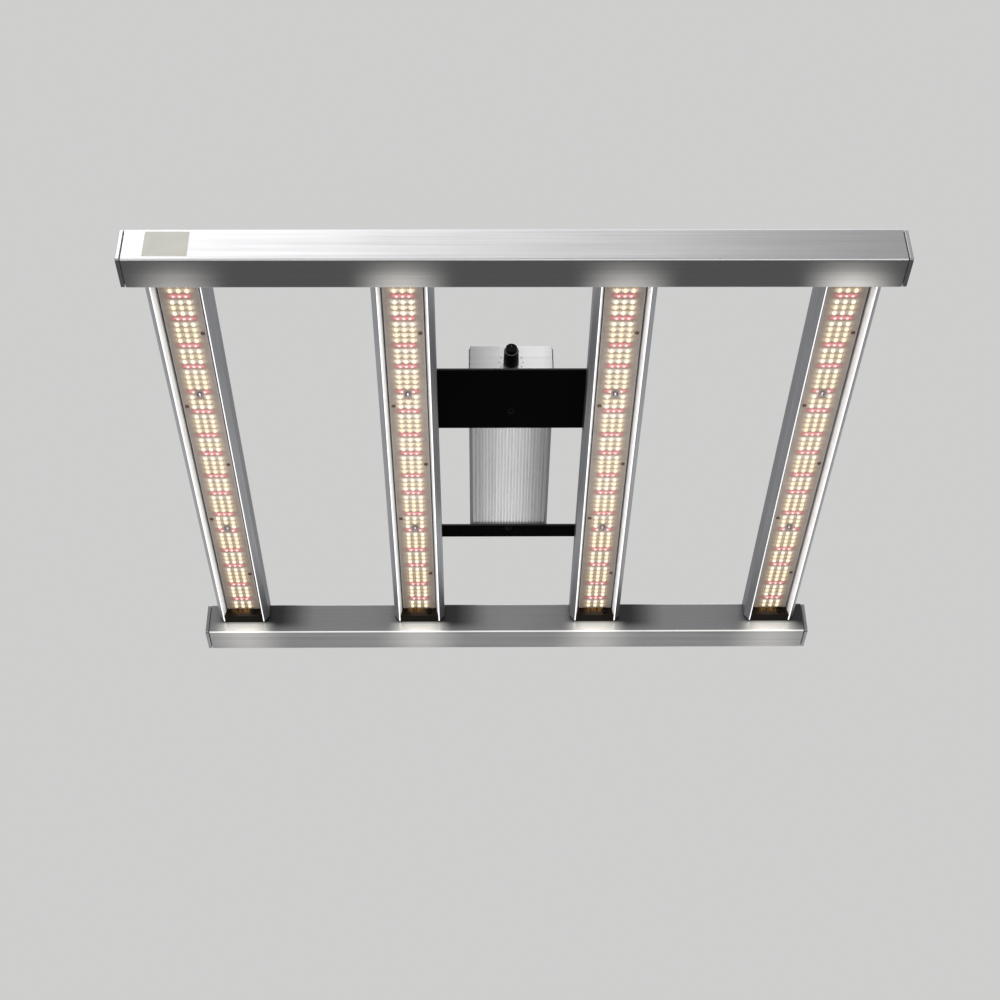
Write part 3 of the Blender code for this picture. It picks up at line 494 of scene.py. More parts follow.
def circuit_material():
    """Green board with tracks, and dark parts above it."""
    look = Material("circuit_board_parts")
    place = look.position()
    height = place.xyz()[2]
    cell = place.voronoi(scale=160.0, distance="CHEBYCHEV")
    tracks = cell.ramp([(0.32, (0.02, 0.10, 0.045)), (0.36, (0.06, 0.22, 0.09))])
    parts = place.noise(scale=40.0, detail=2.0, roughness=0.55).ramp(
        [(0.4, (0.05, 0.05, 0.055)), (0.6, (0.16, 0.13, 0.08))])
    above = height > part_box("driver_circuit_board")[0].z + 1.7 * MM
    return look.finish(Base_Color=above.blend(tracks, parts), Roughness=0.4,
                       Normal=cell.bump(strength=0.3, distance=0.1 * MM))


def end_block_material():
    """Glossy black plastic with painted reflections of the nearest LEDs, as warm streaks that
    glow.
    """
    look = Material("end_block_gloss")
    place = look.position()
    x, y, z = place.xyz()
    across = abs(from_bar(x))
    inwards = (look.normal()[1] * y.sign()).remap((-0.6, -0.9))
    streak = place.streaks("Z", slow=90.0, fast=620.0, detail=3.0, roughness=0.6)
    high = z.remap((LIP_Z + 2.0 * MM, BOARD_Z - 0.3 * MM), smooth=True)
    centre = across.remap((6.0 * MM, 14.0 * MM), to=(1.0, 0.0), smooth=True)
    high = high * (z < BOARD_Z + 0.2 * MM)
    # painted reflection of the LEDs: warm streaks on the inner face, given as glow
    glow = (inwards * high) * (centre * streak.remap((0.40, 0.62), to=(0.05, 1.0)))
    spark = place.noise(scale=900.0, detail=2.0, roughness=0.6)
    cloud = place.noise(scale=60.0, detail=3.0, roughness=0.5)
    underside = look.normal()[2].remap((-0.5, -0.9))
    return look.finish(
        sampled=False,
        Base_Color=cloud.ramp([(0.35, (0.012, 0.008, 0.005)), (0.72, (0.024, 0.015, 0.009))]),
        Roughness=cloud.remap((0.3, 0.7), to=(0.24, 0.34)),
        Normal=spark.bump(strength=0.15, distance=0.06 * MM),
        Specular_IOR_Level=underside.remap((0.0, 1.0), to=(0.20, 0.03)),
        Emission_Color=(0.60, 0.28, 0.07), Emission_Strength=glow * 0.42)


def label_material():
    look = Material("blank_label")
    place = look.position()
    fibre = place.noise(scale=700.0, detail=3.0, roughness=0.6)
    cloud = place.noise(scale=60.0, detail=2.0, roughness=0.5)
    return look.finish(
        Base_Color=cloud.ramp([(0.3, (0.76, 0.745, 0.655)), (0.7, (0.82, 0.805, 0.725))]),
        Roughness=fibre.remap((0.3, 0.7), to=(0.42, 0.55)),
        Normal=fibre.bump(strength=0.2, distance=0.04 * MM),
        Coat_Weight=0.2, Coat_Roughness=0.3)


# x in mm, level
PANEL_SHADE = ((-37.0, 0.52), (-24.0, 0.70), (-6.0, 0.88), (14.0, 1.0), (28.0, 1.0),
               (37.0, 0.80))
HOUSING_SHADE = ((-38.0, 0.36), (-28.0, 0.56), (-14.0, 0.84), (0.0, 1.0), (12.0, 0.84),
                 (26.0, 0.46), (38.0, 0.20))
BEAM_METAL = dict(light=(0.80, 0.80, 0.805), dark=(0.60, 0.60, 0.61), along="X", rough=0.33,
                  metallic=0.93)

BEAM = brushed("beam_brushed", **BEAM_METAL)
# the rear beam's copy of the beam metal, with painted shadows and painted light on it
REAR_BEAM_PAINTED_LIGHT = brushed("rear_beam_brushed", **BEAM_METAL, spill=rear_beam_light)
COVER = brushed("cover_brushed", light=(0.74, 0.74, 0.745), dark=(0.55, 0.55, 0.56),
                along="X", rough=0.38, metallic=0.93)
PANEL = brushed("panel_brushed", light=grey(0.86), dark=grey(0.76), along="X", rough=0.36,
                metallic=0.75, fine=2.0, grain=0.04, shade=PANEL_SHADE)
HOUSING = brushed("housing_extruded", light=grey(0.72), dark=(0.58, 0.58, 0.585), along="Y",
                  rough=0.42, metallic=0.62, grain=0.03, anisotropy=0.3, shade=HOUSING_SHADE,
                  shade_below=True)
BAR = bar_material()
BOARD = board_material()
ZINC = zinc("zinc_plate", light=(0.72, 0.73, 0.75), dark=(0.44, 0.45, 0.48), rough=0.3)
SCREW_STEEL = zinc("screw_steel", light=(0.62, 0.60, 0.66), dark=(0.34, 0.32, 0.38),
                   rough=0.28)
BLACK_STEEL = zinc("black_oxide", light=(0.06, 0.055, 0.05), dark=(0.02, 0.018, 0.018),
                   rough=0.35)
BROWN_STEEL = zinc("brown_steel", light=(0.20, 0.14, 0.10), dark=(0.07, 0.045, 0.03),
                   rough=0.30)
END_BLOCK = end_block_material()
CAP = brushed("beam_cap_satin", light=(0.82, 0.82, 0.825), dark=(0.68, 0.68, 0.69), along="Z",
              rough=0.36, metallic=0.9, grain=0.03, anisotropy=0.0)
PLATE = coated("plate_coat", colour=grey(0.0022), paler=grey(0.0045), rough=0.6)
KNOB_SKIN = plastic("knob_satin", colour=grey(0.003), paler=grey(0.007), rough=0.30,
                    texture=0.35, scale=1800.0, specular=0.16)
CABLE = plastic("cable_rubber", colour=(0.014, 0.014, 0.015), paler=(0.030, 0.030, 0.032),
                rough=0.55, texture=0.4, scale=700.0)
WIRE = plastic("wire_pvc", colour=(0.62, 0.62, 0.58), paler=(0.74, 0.74, 0.70), rough=0.42,
               texture=0.2)
PACKAGE = plastic("led_package_body", colour=(0.66, 0.60, 0.50), paler=(0.80, 0.75, 0.66),
                  rough=0.35, texture=0.2)
WHITE_INK = plastic("white_ink", colour=grey(0.72), paler=grey(0.84), rough=0.4, texture=0.15)
GREY_INK = plastic("grey_ink", colour=(0.10, 0.10, 0.11), paler=(0.17, 0.17, 0.18),
                   rough=0.45, texture=0.15)
LABEL = label_material()
CIRCUIT = circuit_material()
WARM_LENS = lens_material("led_lens_warm", rim=(0.80, 0.56, 0.29), body=(1.0, 0.82, 0.46),
                          core=(1.0, 0.94, 0.72))
COOL_LENS = lens_material("led_lens_cool", rim=(0.76, 0.54, 0.33), body=(1.0, 0.89, 0.64),
                          core=(1.0, 0.98, 0.88))
RED_LENS = lens_material("led_lens_red", rim=(0.82, 0.17, 0.20), body=(1.0, 0.45, 0.46),
                         core=(1.0, 0.90, 0.89))

FINISH = {
    "brushed_aluminium": BEAM, "bar_aluminium": BAR, "led_board": BOARD,
    "end_block_plastic": END_BLOCK, "cap_aluminium": CAP, "plate_powder_coat": PLATE,
    "housing_aluminium": HOUSING, "panel_aluminium": PANEL, "zinc_steel": ZINC,
    "black_steel": BLACK_STEEL, "knob_plastic": KNOB_SKIN, "cable_jacket": CABLE,
    "circuit_board": CIRCUIT, "wire_jacket": WIRE,
}
for part in SUBPARTS:
    finish = FINISH[part["material_slot"]]
    if part["node"].endswith("beam_cover"):
        finish = COVER
    elif part["node"] == "rear_beam":
        finish = REAR_BEAM_PAINTED_LIGHT
    for slot in NODES[part["node"]].material_slots:
        slot.material = finish


# ================================================================ mesh helpers
# A shape is a pair of vertices, in metres, and faces.

def mm(points):
    return [tuple(c * MM for c in point) for point in points]


def add_mesh(name, shape, material, body="fixture", smooth=40):
    """A new piece in the row frame, riding on a body; smooth is the sharp angle in degrees."""
    verts, faces = shape
    mesh = bpy.data.meshes.new(name)
    mesh.from_pydata([tuple(v) for v in verts], [], faces)
    mesh.materials.append(material)
    mesh.validate()
    mesh.shade_smooth()
    mesh.set_sharp_from_angle(angle=math.radians(smooth))
    piece = bpy.data.objects.new(name, mesh)
    scene.collection.objects.link(piece)
    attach(piece, body)
    return piece


def lathe(profile, steps, ripple=None):
    """A profile of (radius, height) in mm turned about Z; ripple scales the radius."""
    verts, faces, rings = [], [], []
    for radius, z in profile:
        if radius < 1e-9:
            rings.append([len(verts)])
            verts.append((0.0, 0.0, z))
        else:
            rings.append(list(range(len(verts), len(verts) + steps)))
            for i in range(steps):
                angle = 2 * math.pi * i / steps
                reach = radius * (ripple(angle, z) if ripple else 1.0)
                verts.append((reach * math.cos(angle), reach * math.sin(angle), z))
    for one, two in zip(rings, rings[1:]):
        for i in range(steps):
            j = (i + 1) % steps
            if len(one) == 1 and len(two) > 1:
                faces.append((one[0], two[i], two[j]))
            elif len(two) == 1 and len(one) > 1:
                faces.append((one[i], two[0], one[j]))
            elif len(one) > 1:
                faces.append((one[i], two[i], two[j], one[j]))
    return np.array(verts, float) * MM, faces


def flipped(shape):
    return shape[0], [tuple(reversed(face)) for face in shape[1]]


def moved(shape, matrix):
    grid = np.array(matrix, float)
    return shape[0] @ grid[:3, :3].T + grid[:3, 3], shape[1]


def along_y(x, y, z, way):
    """A transform to a place that turns local +Z to +Y (way 1) or to -Y (way -1)."""
    return Matrix.Translation((x, y, z)) @ Matrix.Rotation(math.radians(-90 * way), 4, "X")


def joined(*shapes):
    verts, faces, base = [], [], 0
    for points, polygons in shapes:
        verts.append(points)
        faces += [tuple(i + base for i in polygon) for polygon in polygons]
        base += len(points)
    return np.concatenate(verts), faces


def copies(shape, places):
    verts, faces = shape
    return joined(*[(verts + np.asarray(place, float), faces) for place in places])


def bevelled_box(size, centre, width, segments=1, round_z=None):
    """A box with bevelled edges; round_z first rounds its upright edges. All in mm."""
    work = bmesh.new()
    bmesh.ops.create_cube(work, size=1.0)
    bmesh.ops.scale(work, vec=Vector(size) * MM, verts=work.verts)
    if round_z:
        edges = [e for e in work.edges
                 if abs((e.verts[0].co - e.verts[1].co).normalized().z) > 0.9]
        bmesh.ops.bevel(work, geom=edges, offset=round_z * MM, segments=4, affect="EDGES",
                        profile=0.5)
    if width:
        edges = [e for e in work.edges if len(e.link_faces) == 2
                 and e.calc_face_angle(0) > math.radians(50)]
        bmesh.ops.bevel(work, geom=edges, offset=width * MM, segments=segments,
                        affect="EDGES", profile=0.5)
    bmesh.ops.translate(work, vec=Vector(centre) * MM, verts=work.verts)
    work.verts.index_update()
    verts = np.array([v.co[:] for v in work.verts], float)
    faces = [tuple(v.index for v in f.verts) for f in work.faces]
    work.free()
    return verts, faces


def swept(points, radius, sides, closed=False):
    """A round tube along points, turned by parallel transport; flat ends unless closed."""
    points = [Vector(p) for p in points]
    verts, faces, rings = [], [], []
    side = (points[1] - points[0]).normalized().orthogonal().normalized()
    for k, point in enumerate(points):
        before = points[max(k - 1, 0)]
        after = points[min(k + 1, len(points) - 1)]
        ahead = (after - before).normalized()
        side = (side - ahead * side.dot(ahead)).normalized()
        above = ahead.cross(side)
        rings.append(range(len(verts), len(verts) + sides))
        for i in range(sides):
            angle = 2 * math.pi * i / sides
            verts.append(point + (side * math.cos(angle) + above * math.sin(angle)) * radius)
    pairs = list(zip(rings, rings[1:]))
    if closed:
        pairs.append((rings[-1], rings[0]))
    for one, two in pairs:
        for i in range(sides):
            j = (i + 1) % sides
            faces.append((one[i], one[j], two[j], two[i]))
    if not closed:
        faces.append(tuple(reversed(rings[0])))
        faces.append(tuple(rings[-1]))
    return np.array([v[:] for v in verts], float), faces


def flowing(points, steps=10):
    """A Catmull-Rom curve through points."""
    knots = [Vector(p) for p in points]
    knots = [2 * knots[0] - knots[1]] + knots + [2 * knots[-1] - knots[-2]]
    path = []
    for i in range(1, len(knots) - 2):
        a, b, c, d = knots[i - 1:i + 3]
        for s in range(steps):
            t = s / steps
            path.append(0.5 * ((2 * b) + (c - a) * t + (2 * a - 5 * b + 4 * c - d) * t * t
                               + (3 * b - a - 3 * c + d) * t ** 3))
    return path + [knots[-2]]


# =============================================== finer copies of the CAD pieces

SLOT_OF = {part["node"]: part["material_slot"] for part in SUBPARTS}
BEAM_CUT = 0.7 * MM                        # taken off each end of a beam, for a dark band that paints the shadow in the seam
SHARP_EDGE = 35                            # degrees; edges over this are rounded


def refined(node, width, segments, shorter):
    """The CAD piece with whole flat faces and its edges rounded; it stands for that piece."""
    source = NODES[node]
    work = bmesh.new()
    work.from_mesh(source.data)
    bmesh.ops.remove_doubles(work, verts=work.verts, dist=2e-7)
    bmesh.ops.dissolve_limit(work, angle_limit=math.radians(0.4), verts=work.verts,
                             edges=work.edges, use_dissolve_boundaries=False)
    if shorter:
        end = max(v.co.x for v in work.verts)
        for v in work.verts:
            if abs(v.co.x) > end - 0.1 * MM:
                v.co.x -= math.copysign(shorter, v.co.x)
    edges = [e for e in work.edges if len(e.link_faces) == 2
             and e.calc_face_angle(0) > math.radians(SHARP_EDGE)]
    bmesh.ops.bevel(work, geom=edges, offset=width, segments=segments, affect="EDGES",
                    profile=0.5, clamp_overlap=True)
    bmesh.ops.recalc_face_normals(work, faces=work.faces)
    mesh = bpy.data.meshes.new(node + "_fine")
    work.to_mesh(mesh)
    work.free()
    mesh.materials.clear()
    for slot in list(source.material_slots)[:1]:
        mesh.materials.append(slot.material)
    mesh.polygons.foreach_set("material_index", [0] * len(mesh.polygons))
    mesh.shade_smooth()
    mesh.set_sharp_from_angle(angle=math.radians(60))
    piece = bpy.data.objects.new(node + "_fine", mesh)
    scene.collection.objects.link(piece)
    weigh = piece.modifiers.new("even_faces", "WEIGHTED_NORMAL")
    weigh.mode, weigh.weight, weigh.keep_sharp = "FACE_AREA", 80, True
    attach(piece, "fixture")
    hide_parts(node)


# width of the rounded edge in mm, by node and then by the start of a node's name
EDGES = {
    "front_beam": 0.25, "rear_beam": 0.25, "front_beam_cover": 0.2, "rear_beam_cover": 0.2,
    "driver_plate_front": 0.35, "driver_plate_rear": 0.35, "driver_housing": 0.18,
    "driver_front_plate": 0.3, "driver_rear_plate": 0.3, "driver_circuit_board": 0.25,
}
EDGES_BY_START = {
    "led_bar_": 0.14, "led_board_": 0.15, "beam_end_cap_": 0.5, "bar_end_block_": 0.25,
    "bar_bolt_": 0.15, "plate_screw_": 0.15, "driver_screw_": 0.15, "hanging_saddle_": 0.3,
}
for node in SLOT_OF:
    for start, width in EDGES_BY_START.items():
        if node.startswith(start):
            EDGES[node] = width
for node, width in EDGES.items():
    refined(node, width * MM, segments=3 if width > 0.2 else 2,
            shorter=BEAM_CUT if node in ("front_beam", "rear_beam") else 0.0)


# ---------------------------------------------------- dark bands at the beams' ends, a painted shadow in the seams

SEAM_BAND_INSET, SEAM_BAND_CORNER = 0.45 * MM, 1.6 * MM
SEAM_BAND_OVERLAP = 1.4 * MM                  # how far it starts inside the uncut beam's end


def seam_shadow_band(x0, x1, low, high):
    """A thin slab with rounded corners, between two places along a beam; set dark, it paints the
    shadow in the seam between beam and cap.
    """
    inset = SEAM_BAND_INSET + SEAM_BAND_CORNER
    y0, y1, z0, z1 = low.y + inset, high.y - inset, low.z + inset, high.z - inset
    ring = []
    for y, z, start in ((y1, z1, 0), (y0, z1, 90), (y0, z0, 180), (y1, z0, 270)):
        for k in range(7):
            angle = math.radians(start + 15 * k)
            ring.append((y + SEAM_BAND_CORNER * math.cos(angle),
                         z + SEAM_BAND_CORNER * math.sin(angle)))
    n = len(ring)
    verts = [(x, y, z) for x in (x0, x1) for y, z in ring]
    faces = [tuple(reversed(range(n))), tuple(range(n, 2 * n))]
    faces += [(k, (k + 1) % n, n + (k + 1) % n, n + k) for k in range(n)]
    return np.array(verts, float), faces


for where in ("front", "rear"):
    for way, side in ((-1, "left"), (1, "right")):
        beam_low, beam_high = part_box(where + "_beam")
        cap_low, cap_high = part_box("beam_end_cap_%s_%s" % (where, side))
        stop = cap_low.x if way > 0 else -cap_high.x
        ends = sorted((way * (beam_high.x - SEAM_BAND_OVERLAP), way * (stop + 0.05 * MM)))
        add_mesh("end_gasket_%s_%s" % (where, side), seam_shadow_band(*ends, beam_low, beam_high),
                 CABLE, smooth=35)


# ======================================================================== LEDs

LENS_BASE = -0.64 * MM                     # from the board's face down to a lens


def dome_profile(radius, height, wall, rings):
    """A short wall and a flattened dome, pointing down from z = 0."""
    profile = [(radius, 0.0), (radius, -wall)]
    for k in range(1, rings + 1):
        angle = math.pi / 2 * k / rings
        profile.append((radius * math.cos(angle) if k < rings else 0.0,
                        -wall - height * math.sin(angle)))
    return profile


def lens(radius, height, wall, steps, rings, stretch):
    """An LED's dome, stretched along Y."""
    verts, faces = flipped(lathe(dome_profile(radius, height, wall, rings), steps))
    verts[:, 1] *= stretch
    return verts, faces


white_body = bevelled_box((4.4, 5.6, 0.62), (0, 0, -0.33), width=0.18, segments=2, round_z=1.1)
red_body = bevelled_box((3.0, 3.0, 0.62), (0, 0, -0.33), width=0.18, segments=2, round_z=0.4)
white_lens = lens(radius=2.02, height=1.35, wall=0.12, steps=24, rings=8, stretch=1.30)
red_lens = lens(radius=1.42, height=0.85, wall=0.1, steps=24, rings=7, stretch=0.95)
pad = bevelled_box((0.9, 3.0, 0.10), (0, 0, -0.06), width=0.03)
PAD_X = 2.3 * MM                           # from a white LED's middle to each solder pad

for i, bar_x in enumerate(BAR_X, 1):
    warm, cool, red = [], [], []
    for n in range(1, ROWS + 1):
        step = RED_COLUMN if n in RED_ROWS else WHITE_COLUMN
        for column in (-1, 0, 1):
            if column == 0 and any(abs(n - row) < 1 for row in SCREW_ROWS):
                continue
            if n in RED_ROWS:
                kind = red
            elif n - 1 in RED_ROWS or (n + 1 in RED_ROWS and n % 3 == 0):
                kind = cool
            else:
                kind = warm
            kind.append((bar_x + column * step, row_y(n), BOARD_Z))
    white = warm + cool
    add_mesh("led_packages_%d" % i, joined(copies(white_body, white), copies(red_body, red)),
             PACKAGE)
    pads = copies(pad, [(x + s * PAD_X, y, z) for x, y, z in white for s in (-1, 1)])
    add_mesh("led_solder_pads_%d" % i, pads, SCREW_STEEL)
    for kind, shape, places, material, slot in (
            ("warm", white_lens, warm, WARM_LENS, "led_white"),
            ("cool", white_lens, cool, COOL_LENS, "led_white"),
            ("red", red_lens, red, RED_LENS, "led_red")):
        lenses = copies(shape, [(x, y, z + LENS_BASE) for x, y, z in places])
        add_mesh("led_lenses_%s_%d" % (kind, i), lenses, material, smooth=60)


# ---------------------------------------------------------------- board screws

def cross_screw(radius, height, slot_half, slot_width):
    """A domed pan head pointing down, with a cross recess cut into it; in mm."""
    profile = [(0.0, 0.0)] + dome_profile(radius, height * 0.65, wall=height * 0.35, rings=6)

    def scratch(name, shape):
        mesh = bpy.data.meshes.new(name)
        mesh.from_pydata([tuple(v) for v in shape[0]], [], shape[1])
        made = bpy.data.objects.new(name, mesh)
        scene.collection.objects.link(made)
        return made

    maker = scratch("screw_maker", flipped(lathe(profile, 28)))
    tools = []
    for size in ((slot_half * 2, slot_width, height), (slot_width, slot_half * 2, height)):
        tool = scratch("slot_tool", bevelled_box(size, (0, 0, -height * 1.05), width=0))
        cut = maker.modifiers.new("cut", "BOOLEAN")
        cut.object = tool
        cut.solver = "EXACT"
        tools.append(tool)
    bpy.context.view_layer.update()
    done = bpy.data.meshes.new_from_object(
        maker.evaluated_get(bpy.context.evaluated_depsgraph_get()))
    shape = (np.array([v.co[:] for v in done.vertices], float),
             [tuple(p.vertices) for p in done.polygons])
    for made in tools + [maker]:
        bpy.data.objects.remove(made, do_unlink=True)
    return shape


centre_screw = cross_screw(radius=2.75, height=1.7, slot_half=1.5, slot_width=0.6)
edge_screw = cross_screw(radius=1.85, height=1.1, slot_half=1.1, slot_width=0.46)
CENTRE_SCREW_SINK = 0.3 * MM
EDGE_SCREW_X = 13.2 * MM                   # from the board's centre line
# row, side of the centre line
EDGE_SCREWS = ((9.75, 1), (24.0, -1), (36.5, 1), (49.25, -1), (63.25, 1))
for i, bar_x in enumerate(BAR_X, 1):
    spots = [(bar_x, row_y(n), BOARD_Z - CENTRE_SCREW_SINK) for n in SCREW_ROWS]
    add_mesh("board_centre_screws_%d" % i, copies(centre_screw, spots), SCREW_STEEL,
             smooth=35)
    spots = [(bar_x + side * EDGE_SCREW_X, row_y(n), BOARD_Z) for n, side in EDGE_SCREWS]
    add_mesh("board_edge_screws_%d" % i, copies(edge_screw, spots), BROWN_STEEL,
             smooth=35)


# ------------------------------------------------- grommets in the end blocks

# radius, height; the flange is on the side away from the block
BUSH = ((0.75, -1.2), (0.95, -1.35), (2.7, -1.35), (3.1, -1.1), (3.2, -0.6), (3.2, 0.0),
        (2.05, 0.0), (2.05, 3.0), (0.75, 3.0), (0.75, -1.2))
WIRE_X, WIRE_Z = 10.0 * MM, 18.0 * MM      # X is from the bar's centre line
bush = flipped(lathe(BUSH, 32))
for i, bar_x in enumerate(BAR_X, 1):
    for where, way in (("rear", 1), ("front", -1)):
        low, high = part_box("bar_end_block_%s_%d" % (where, i))
        inner = low.y if way > 0 else high.y
        to_block = along_y(bar_x + WIRE_X, inner, WIRE_Z, way)
        add_mesh("wire_grommet_%s_%d" % (where, i), moved(bush, to_block), KNOB_SKIN,
                 smooth=35)


# ========================================================== blank label, dial

LABEL_WIDTH, LABEL_HEIGHT = 35.5, 27.0     # mm
LABEL_MARGIN = 17.0 * MM                   # from the front beam's left end
LABEL_Z = 17.8 * MM
label = bevelled_box((LABEL_WIDTH, LABEL_HEIGHT, 0.14), (0, 0, 0), width=0.03, round_z=0.8)
label_x = FRONT_LOW.x + LABEL_MARGIN + LABEL_WIDTH * MM / 2
add_mesh("blank_label", moved(label, along_y(label_x, FRONT_LOW.y, LABEL_Z, -1)), LABEL)

# eleven dots around the knob, the two end ones larger
DIAL_RADIUS, END_DOT_SCALE = 10.6 * MM, 1.5
DOT_RADIUS, DOT_DEPTH = 0.55, 0.05         # mm
dot = lathe([(0.0, DOT_DEPTH), (DOT_RADIUS, DOT_DEPTH), (DOT_RADIUS, 0.0), (0.0, 0.0)], 16)
dots = []
for k in range(11):
    angle = math.radians(-150 + 30 * k)
    to_dial = along_y(KNOB.x + DIAL_RADIUS * math.sin(angle), PANEL_Y - 0.055 * MM,
                      KNOB.z + DIAL_RADIUS * math.cos(angle), -1)
    dots.append(moved(dot, to_dial @ Matrix.Scale(END_DOT_SCALE if k in (0, 10) else 1.0, 4)))
add_mesh("dial_dots", joined(*dots), GREY_INK)


# ======================================================================== knob
# In mm; heights run from the knob's back, at the panel, towards the front.

LENGTH = (KNOB_HIGH.y - KNOB_LOW.y) / MM
BARREL = LENGTH - 4.2                      # the barrel's length; a boss stands on it
BACK_RADIUS, FRONT_RADIUS = 6.9, 6.5       # of the barrel
HOLLOW_RADIUS, HOLLOW_DEPTH = 5.75, 5.2
BOSS = 5.1                                 # the boss's radius
FLUTES = 12


def flutes(angle, z):
    """Shallow grooves on the barrel, fading out towards its ends."""
    grip = min(max((z - 5.5) / 2.5, 0.0), 1.0)
    grip *= min(max((BARREL - 0.7 - z) / 0.8, 0.0), 1.0)
    wave = max(math.cos(FLUTES * angle), 0.0) ** 3
    return 1.0 - 0.085 * grip * wave


def rounded_rim(radius, top, fillet):
    """A quarter circle from the side to the top."""
    angles = [math.pi / 2 * k / 5 for k in range(1, 6)]
    return [(radius - fillet * (1 - math.cos(angle)), top - fillet + fillet * math.sin(angle))
            for angle in angles]


profile = [(0.0, HOLLOW_DEPTH), (HOLLOW_RADIUS, HOLLOW_DEPTH), (HOLLOW_RADIUS, 0.15),
           (BACK_RADIUS - 0.5, 0.0), (BACK_RADIUS - 0.12, 0.12), (BACK_RADIUS, 0.5)]
profile += [(BACK_RADIUS + (FRONT_RADIUS - BACK_RADIUS) * k / 24,
             0.5 + (BARREL - 1.1) * k / 24) for k in range(1, 25)]
profile += rounded_rim(FRONT_RADIUS, BARREL, fillet=0.6)
profile += [(BOSS + 0.35, BARREL), (BOSS + 0.2, BARREL - 0.12), (BOSS, BARREL),
            (BOSS, LENGTH - 0.7)]
profile += rounded_rim(BOSS, LENGTH, fillet=0.7)
profile += [(3.6, LENGTH), (3.2, LENGTH - 0.25), (0.0, LENGTH - 0.25)]
to_panel = along_y(KNOB.x, KNOB_HIGH.y, KNOB.z, -1)
knob = add_mesh("dimmer_knob_grip", moved(lathe(profile, 144, flutes), to_panel), KNOB_SKIN,
                body="dimmer", smooth=30)
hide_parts("dimmer_knob")
ring = lathe([(BOSS + 0.28, BARREL + 0.05), (BOSS + 0.28, BARREL), (BOSS + 0.68, BARREL),
              (BOSS + 0.68, BARREL + 0.06), (BOSS + 0.28, BARREL + 0.05)], 72)
add_mesh("knob_ring", moved(ring, to_panel), WHITE_INK, body="dimmer")
pointer = bevelled_box((0.7, 2.6, 0.12), (0, 2.2, LENGTH - 0.22), width=0.03)
add_mesh("knob_pointer", moved(pointer, to_panel), GREY_INK, body="dimmer")


# ============================================= screws of the driver's rear plate

PLATE_LOW, PLATE_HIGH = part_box("driver_rear_plate")
PLATE_SCREW_SIDE, PLATE_SCREW_END = 4.4 * MM, 4.2 * MM     # inset along X and along Z
small_screw = cross_screw(radius=2.6, height=1.5, slot_half=1.5, slot_width=0.6)
heads = [moved(small_screw, along_y(way * (PLATE_HIGH.x - PLATE_SCREW_SIDE), PLATE_HIGH.y, z, -1))
         for way in (-1, 1)
         for z in (PLATE_LOW.z + PLATE_SCREW_END, PLATE_HIGH.z - PLATE_SCREW_END)]
add_mesh("rear_plate_screws", joined(*heads), BLACK_STEEL, smooth=35)


# ================================================== leads and mains connector

EXIT_X, EXIT_Z = 20.0, 56.0                # mm; where the leads leave the rear plate
EXIT = PLATE_HIGH.y / MM
LEAD_RADIUS = 3.4 * MM * 0.985
REAR_MID = middle("rear_beam").y
CONNECTOR_LOW, CONNECTOR_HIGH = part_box("mains_connector")
CONNECTOR_Y = CONNECTOR_LOW.y / MM
CONNECTOR_Z = (CONNECTOR_LOW.z + CONNECTOR_HIGH.z) / 2 / MM


def relief(x):
    """A ribbed strain relief on the driver's rear plate."""
    profile = [(0.0, 12.5), (3.6, 12.5), (4.0, 12.1)]
    for k in range(4):
        base = 11.3 - k * 2.1
        grow = 0.22 * k
        profile += [(4.1 + grow, base), (4.1 + grow, base - 1.1),
                    (3.75 + grow, base - 1.3), (3.75 + grow, base - 1.9)]
    profile += [(4.9, 3.2), (7.2, 3.0), (7.5, 2.7), (7.5, 0.35), (4.4, 0.35), (4.4, -3.6),
                (0.0, -3.6)]
    return moved(lathe(profile, 40), along_y(x * MM, PLATE_HIGH.y, EXIT_Z * MM, 1))


def add_lead(name, node, way, onward):
    """A lead from the rear plate, bending outwards and then through the onward points."""
    start = [(way * EXIT_X, EXIT - 3.5, EXIT_Z), (way * EXIT_X, EXIT + 8, EXIT_Z),
             (way * 31, EXIT + 17.5, 51.5), (way * 54, EXIT + 18, 48.5)]
    tube = swept(flowing(mm(start + onward)), LEAD_RADIUS, 24)
    piece = add_mesh(name, joined(tube, relief(way * EXIT_X)), CABLE,
                     smooth=35)
    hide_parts(node)


beam_y = REAR_MID / MM
add_lead("output_cable", "output_lead", -1, [
    (-80, EXIT + 24, 45.5), (-INNER_BAR_X, EXIT + 44, 41.0), (-INNER_BAR_X, EXIT + 70, 39.4),
    (-INNER_BAR_X, EXIT + 104, 39.4), (-INNER_BAR_X, EXIT + 126, 40.2),
    (-INNER_BAR_X, beam_y - 10, 42.0), (-INNER_BAR_X, beam_y - 2.0, 39.5),
    (-INNER_BAR_X, beam_y, 33.0), (-INNER_BAR_X, beam_y, 24.0)])
add_lead("mains_cable", "mains_lead", 1, [
    (80, EXIT + 26, 46.5), (INNER_BAR_X, EXIT + 44, 45.0),
    (INNER_BAR_X, CONNECTOR_Y - 12, CONNECTOR_Z), (INNER_BAR_X, CONNECTOR_Y + 7, CONNECTOR_Z)])


def grips(angle, z):
    """Eighteen grooves around the connector's collar."""
    collar = 14.3 < z < 26.1
    return 1.0 - (0.05 * max(math.cos(18 * angle), 0.0) ** 2 if collar else 0.0)


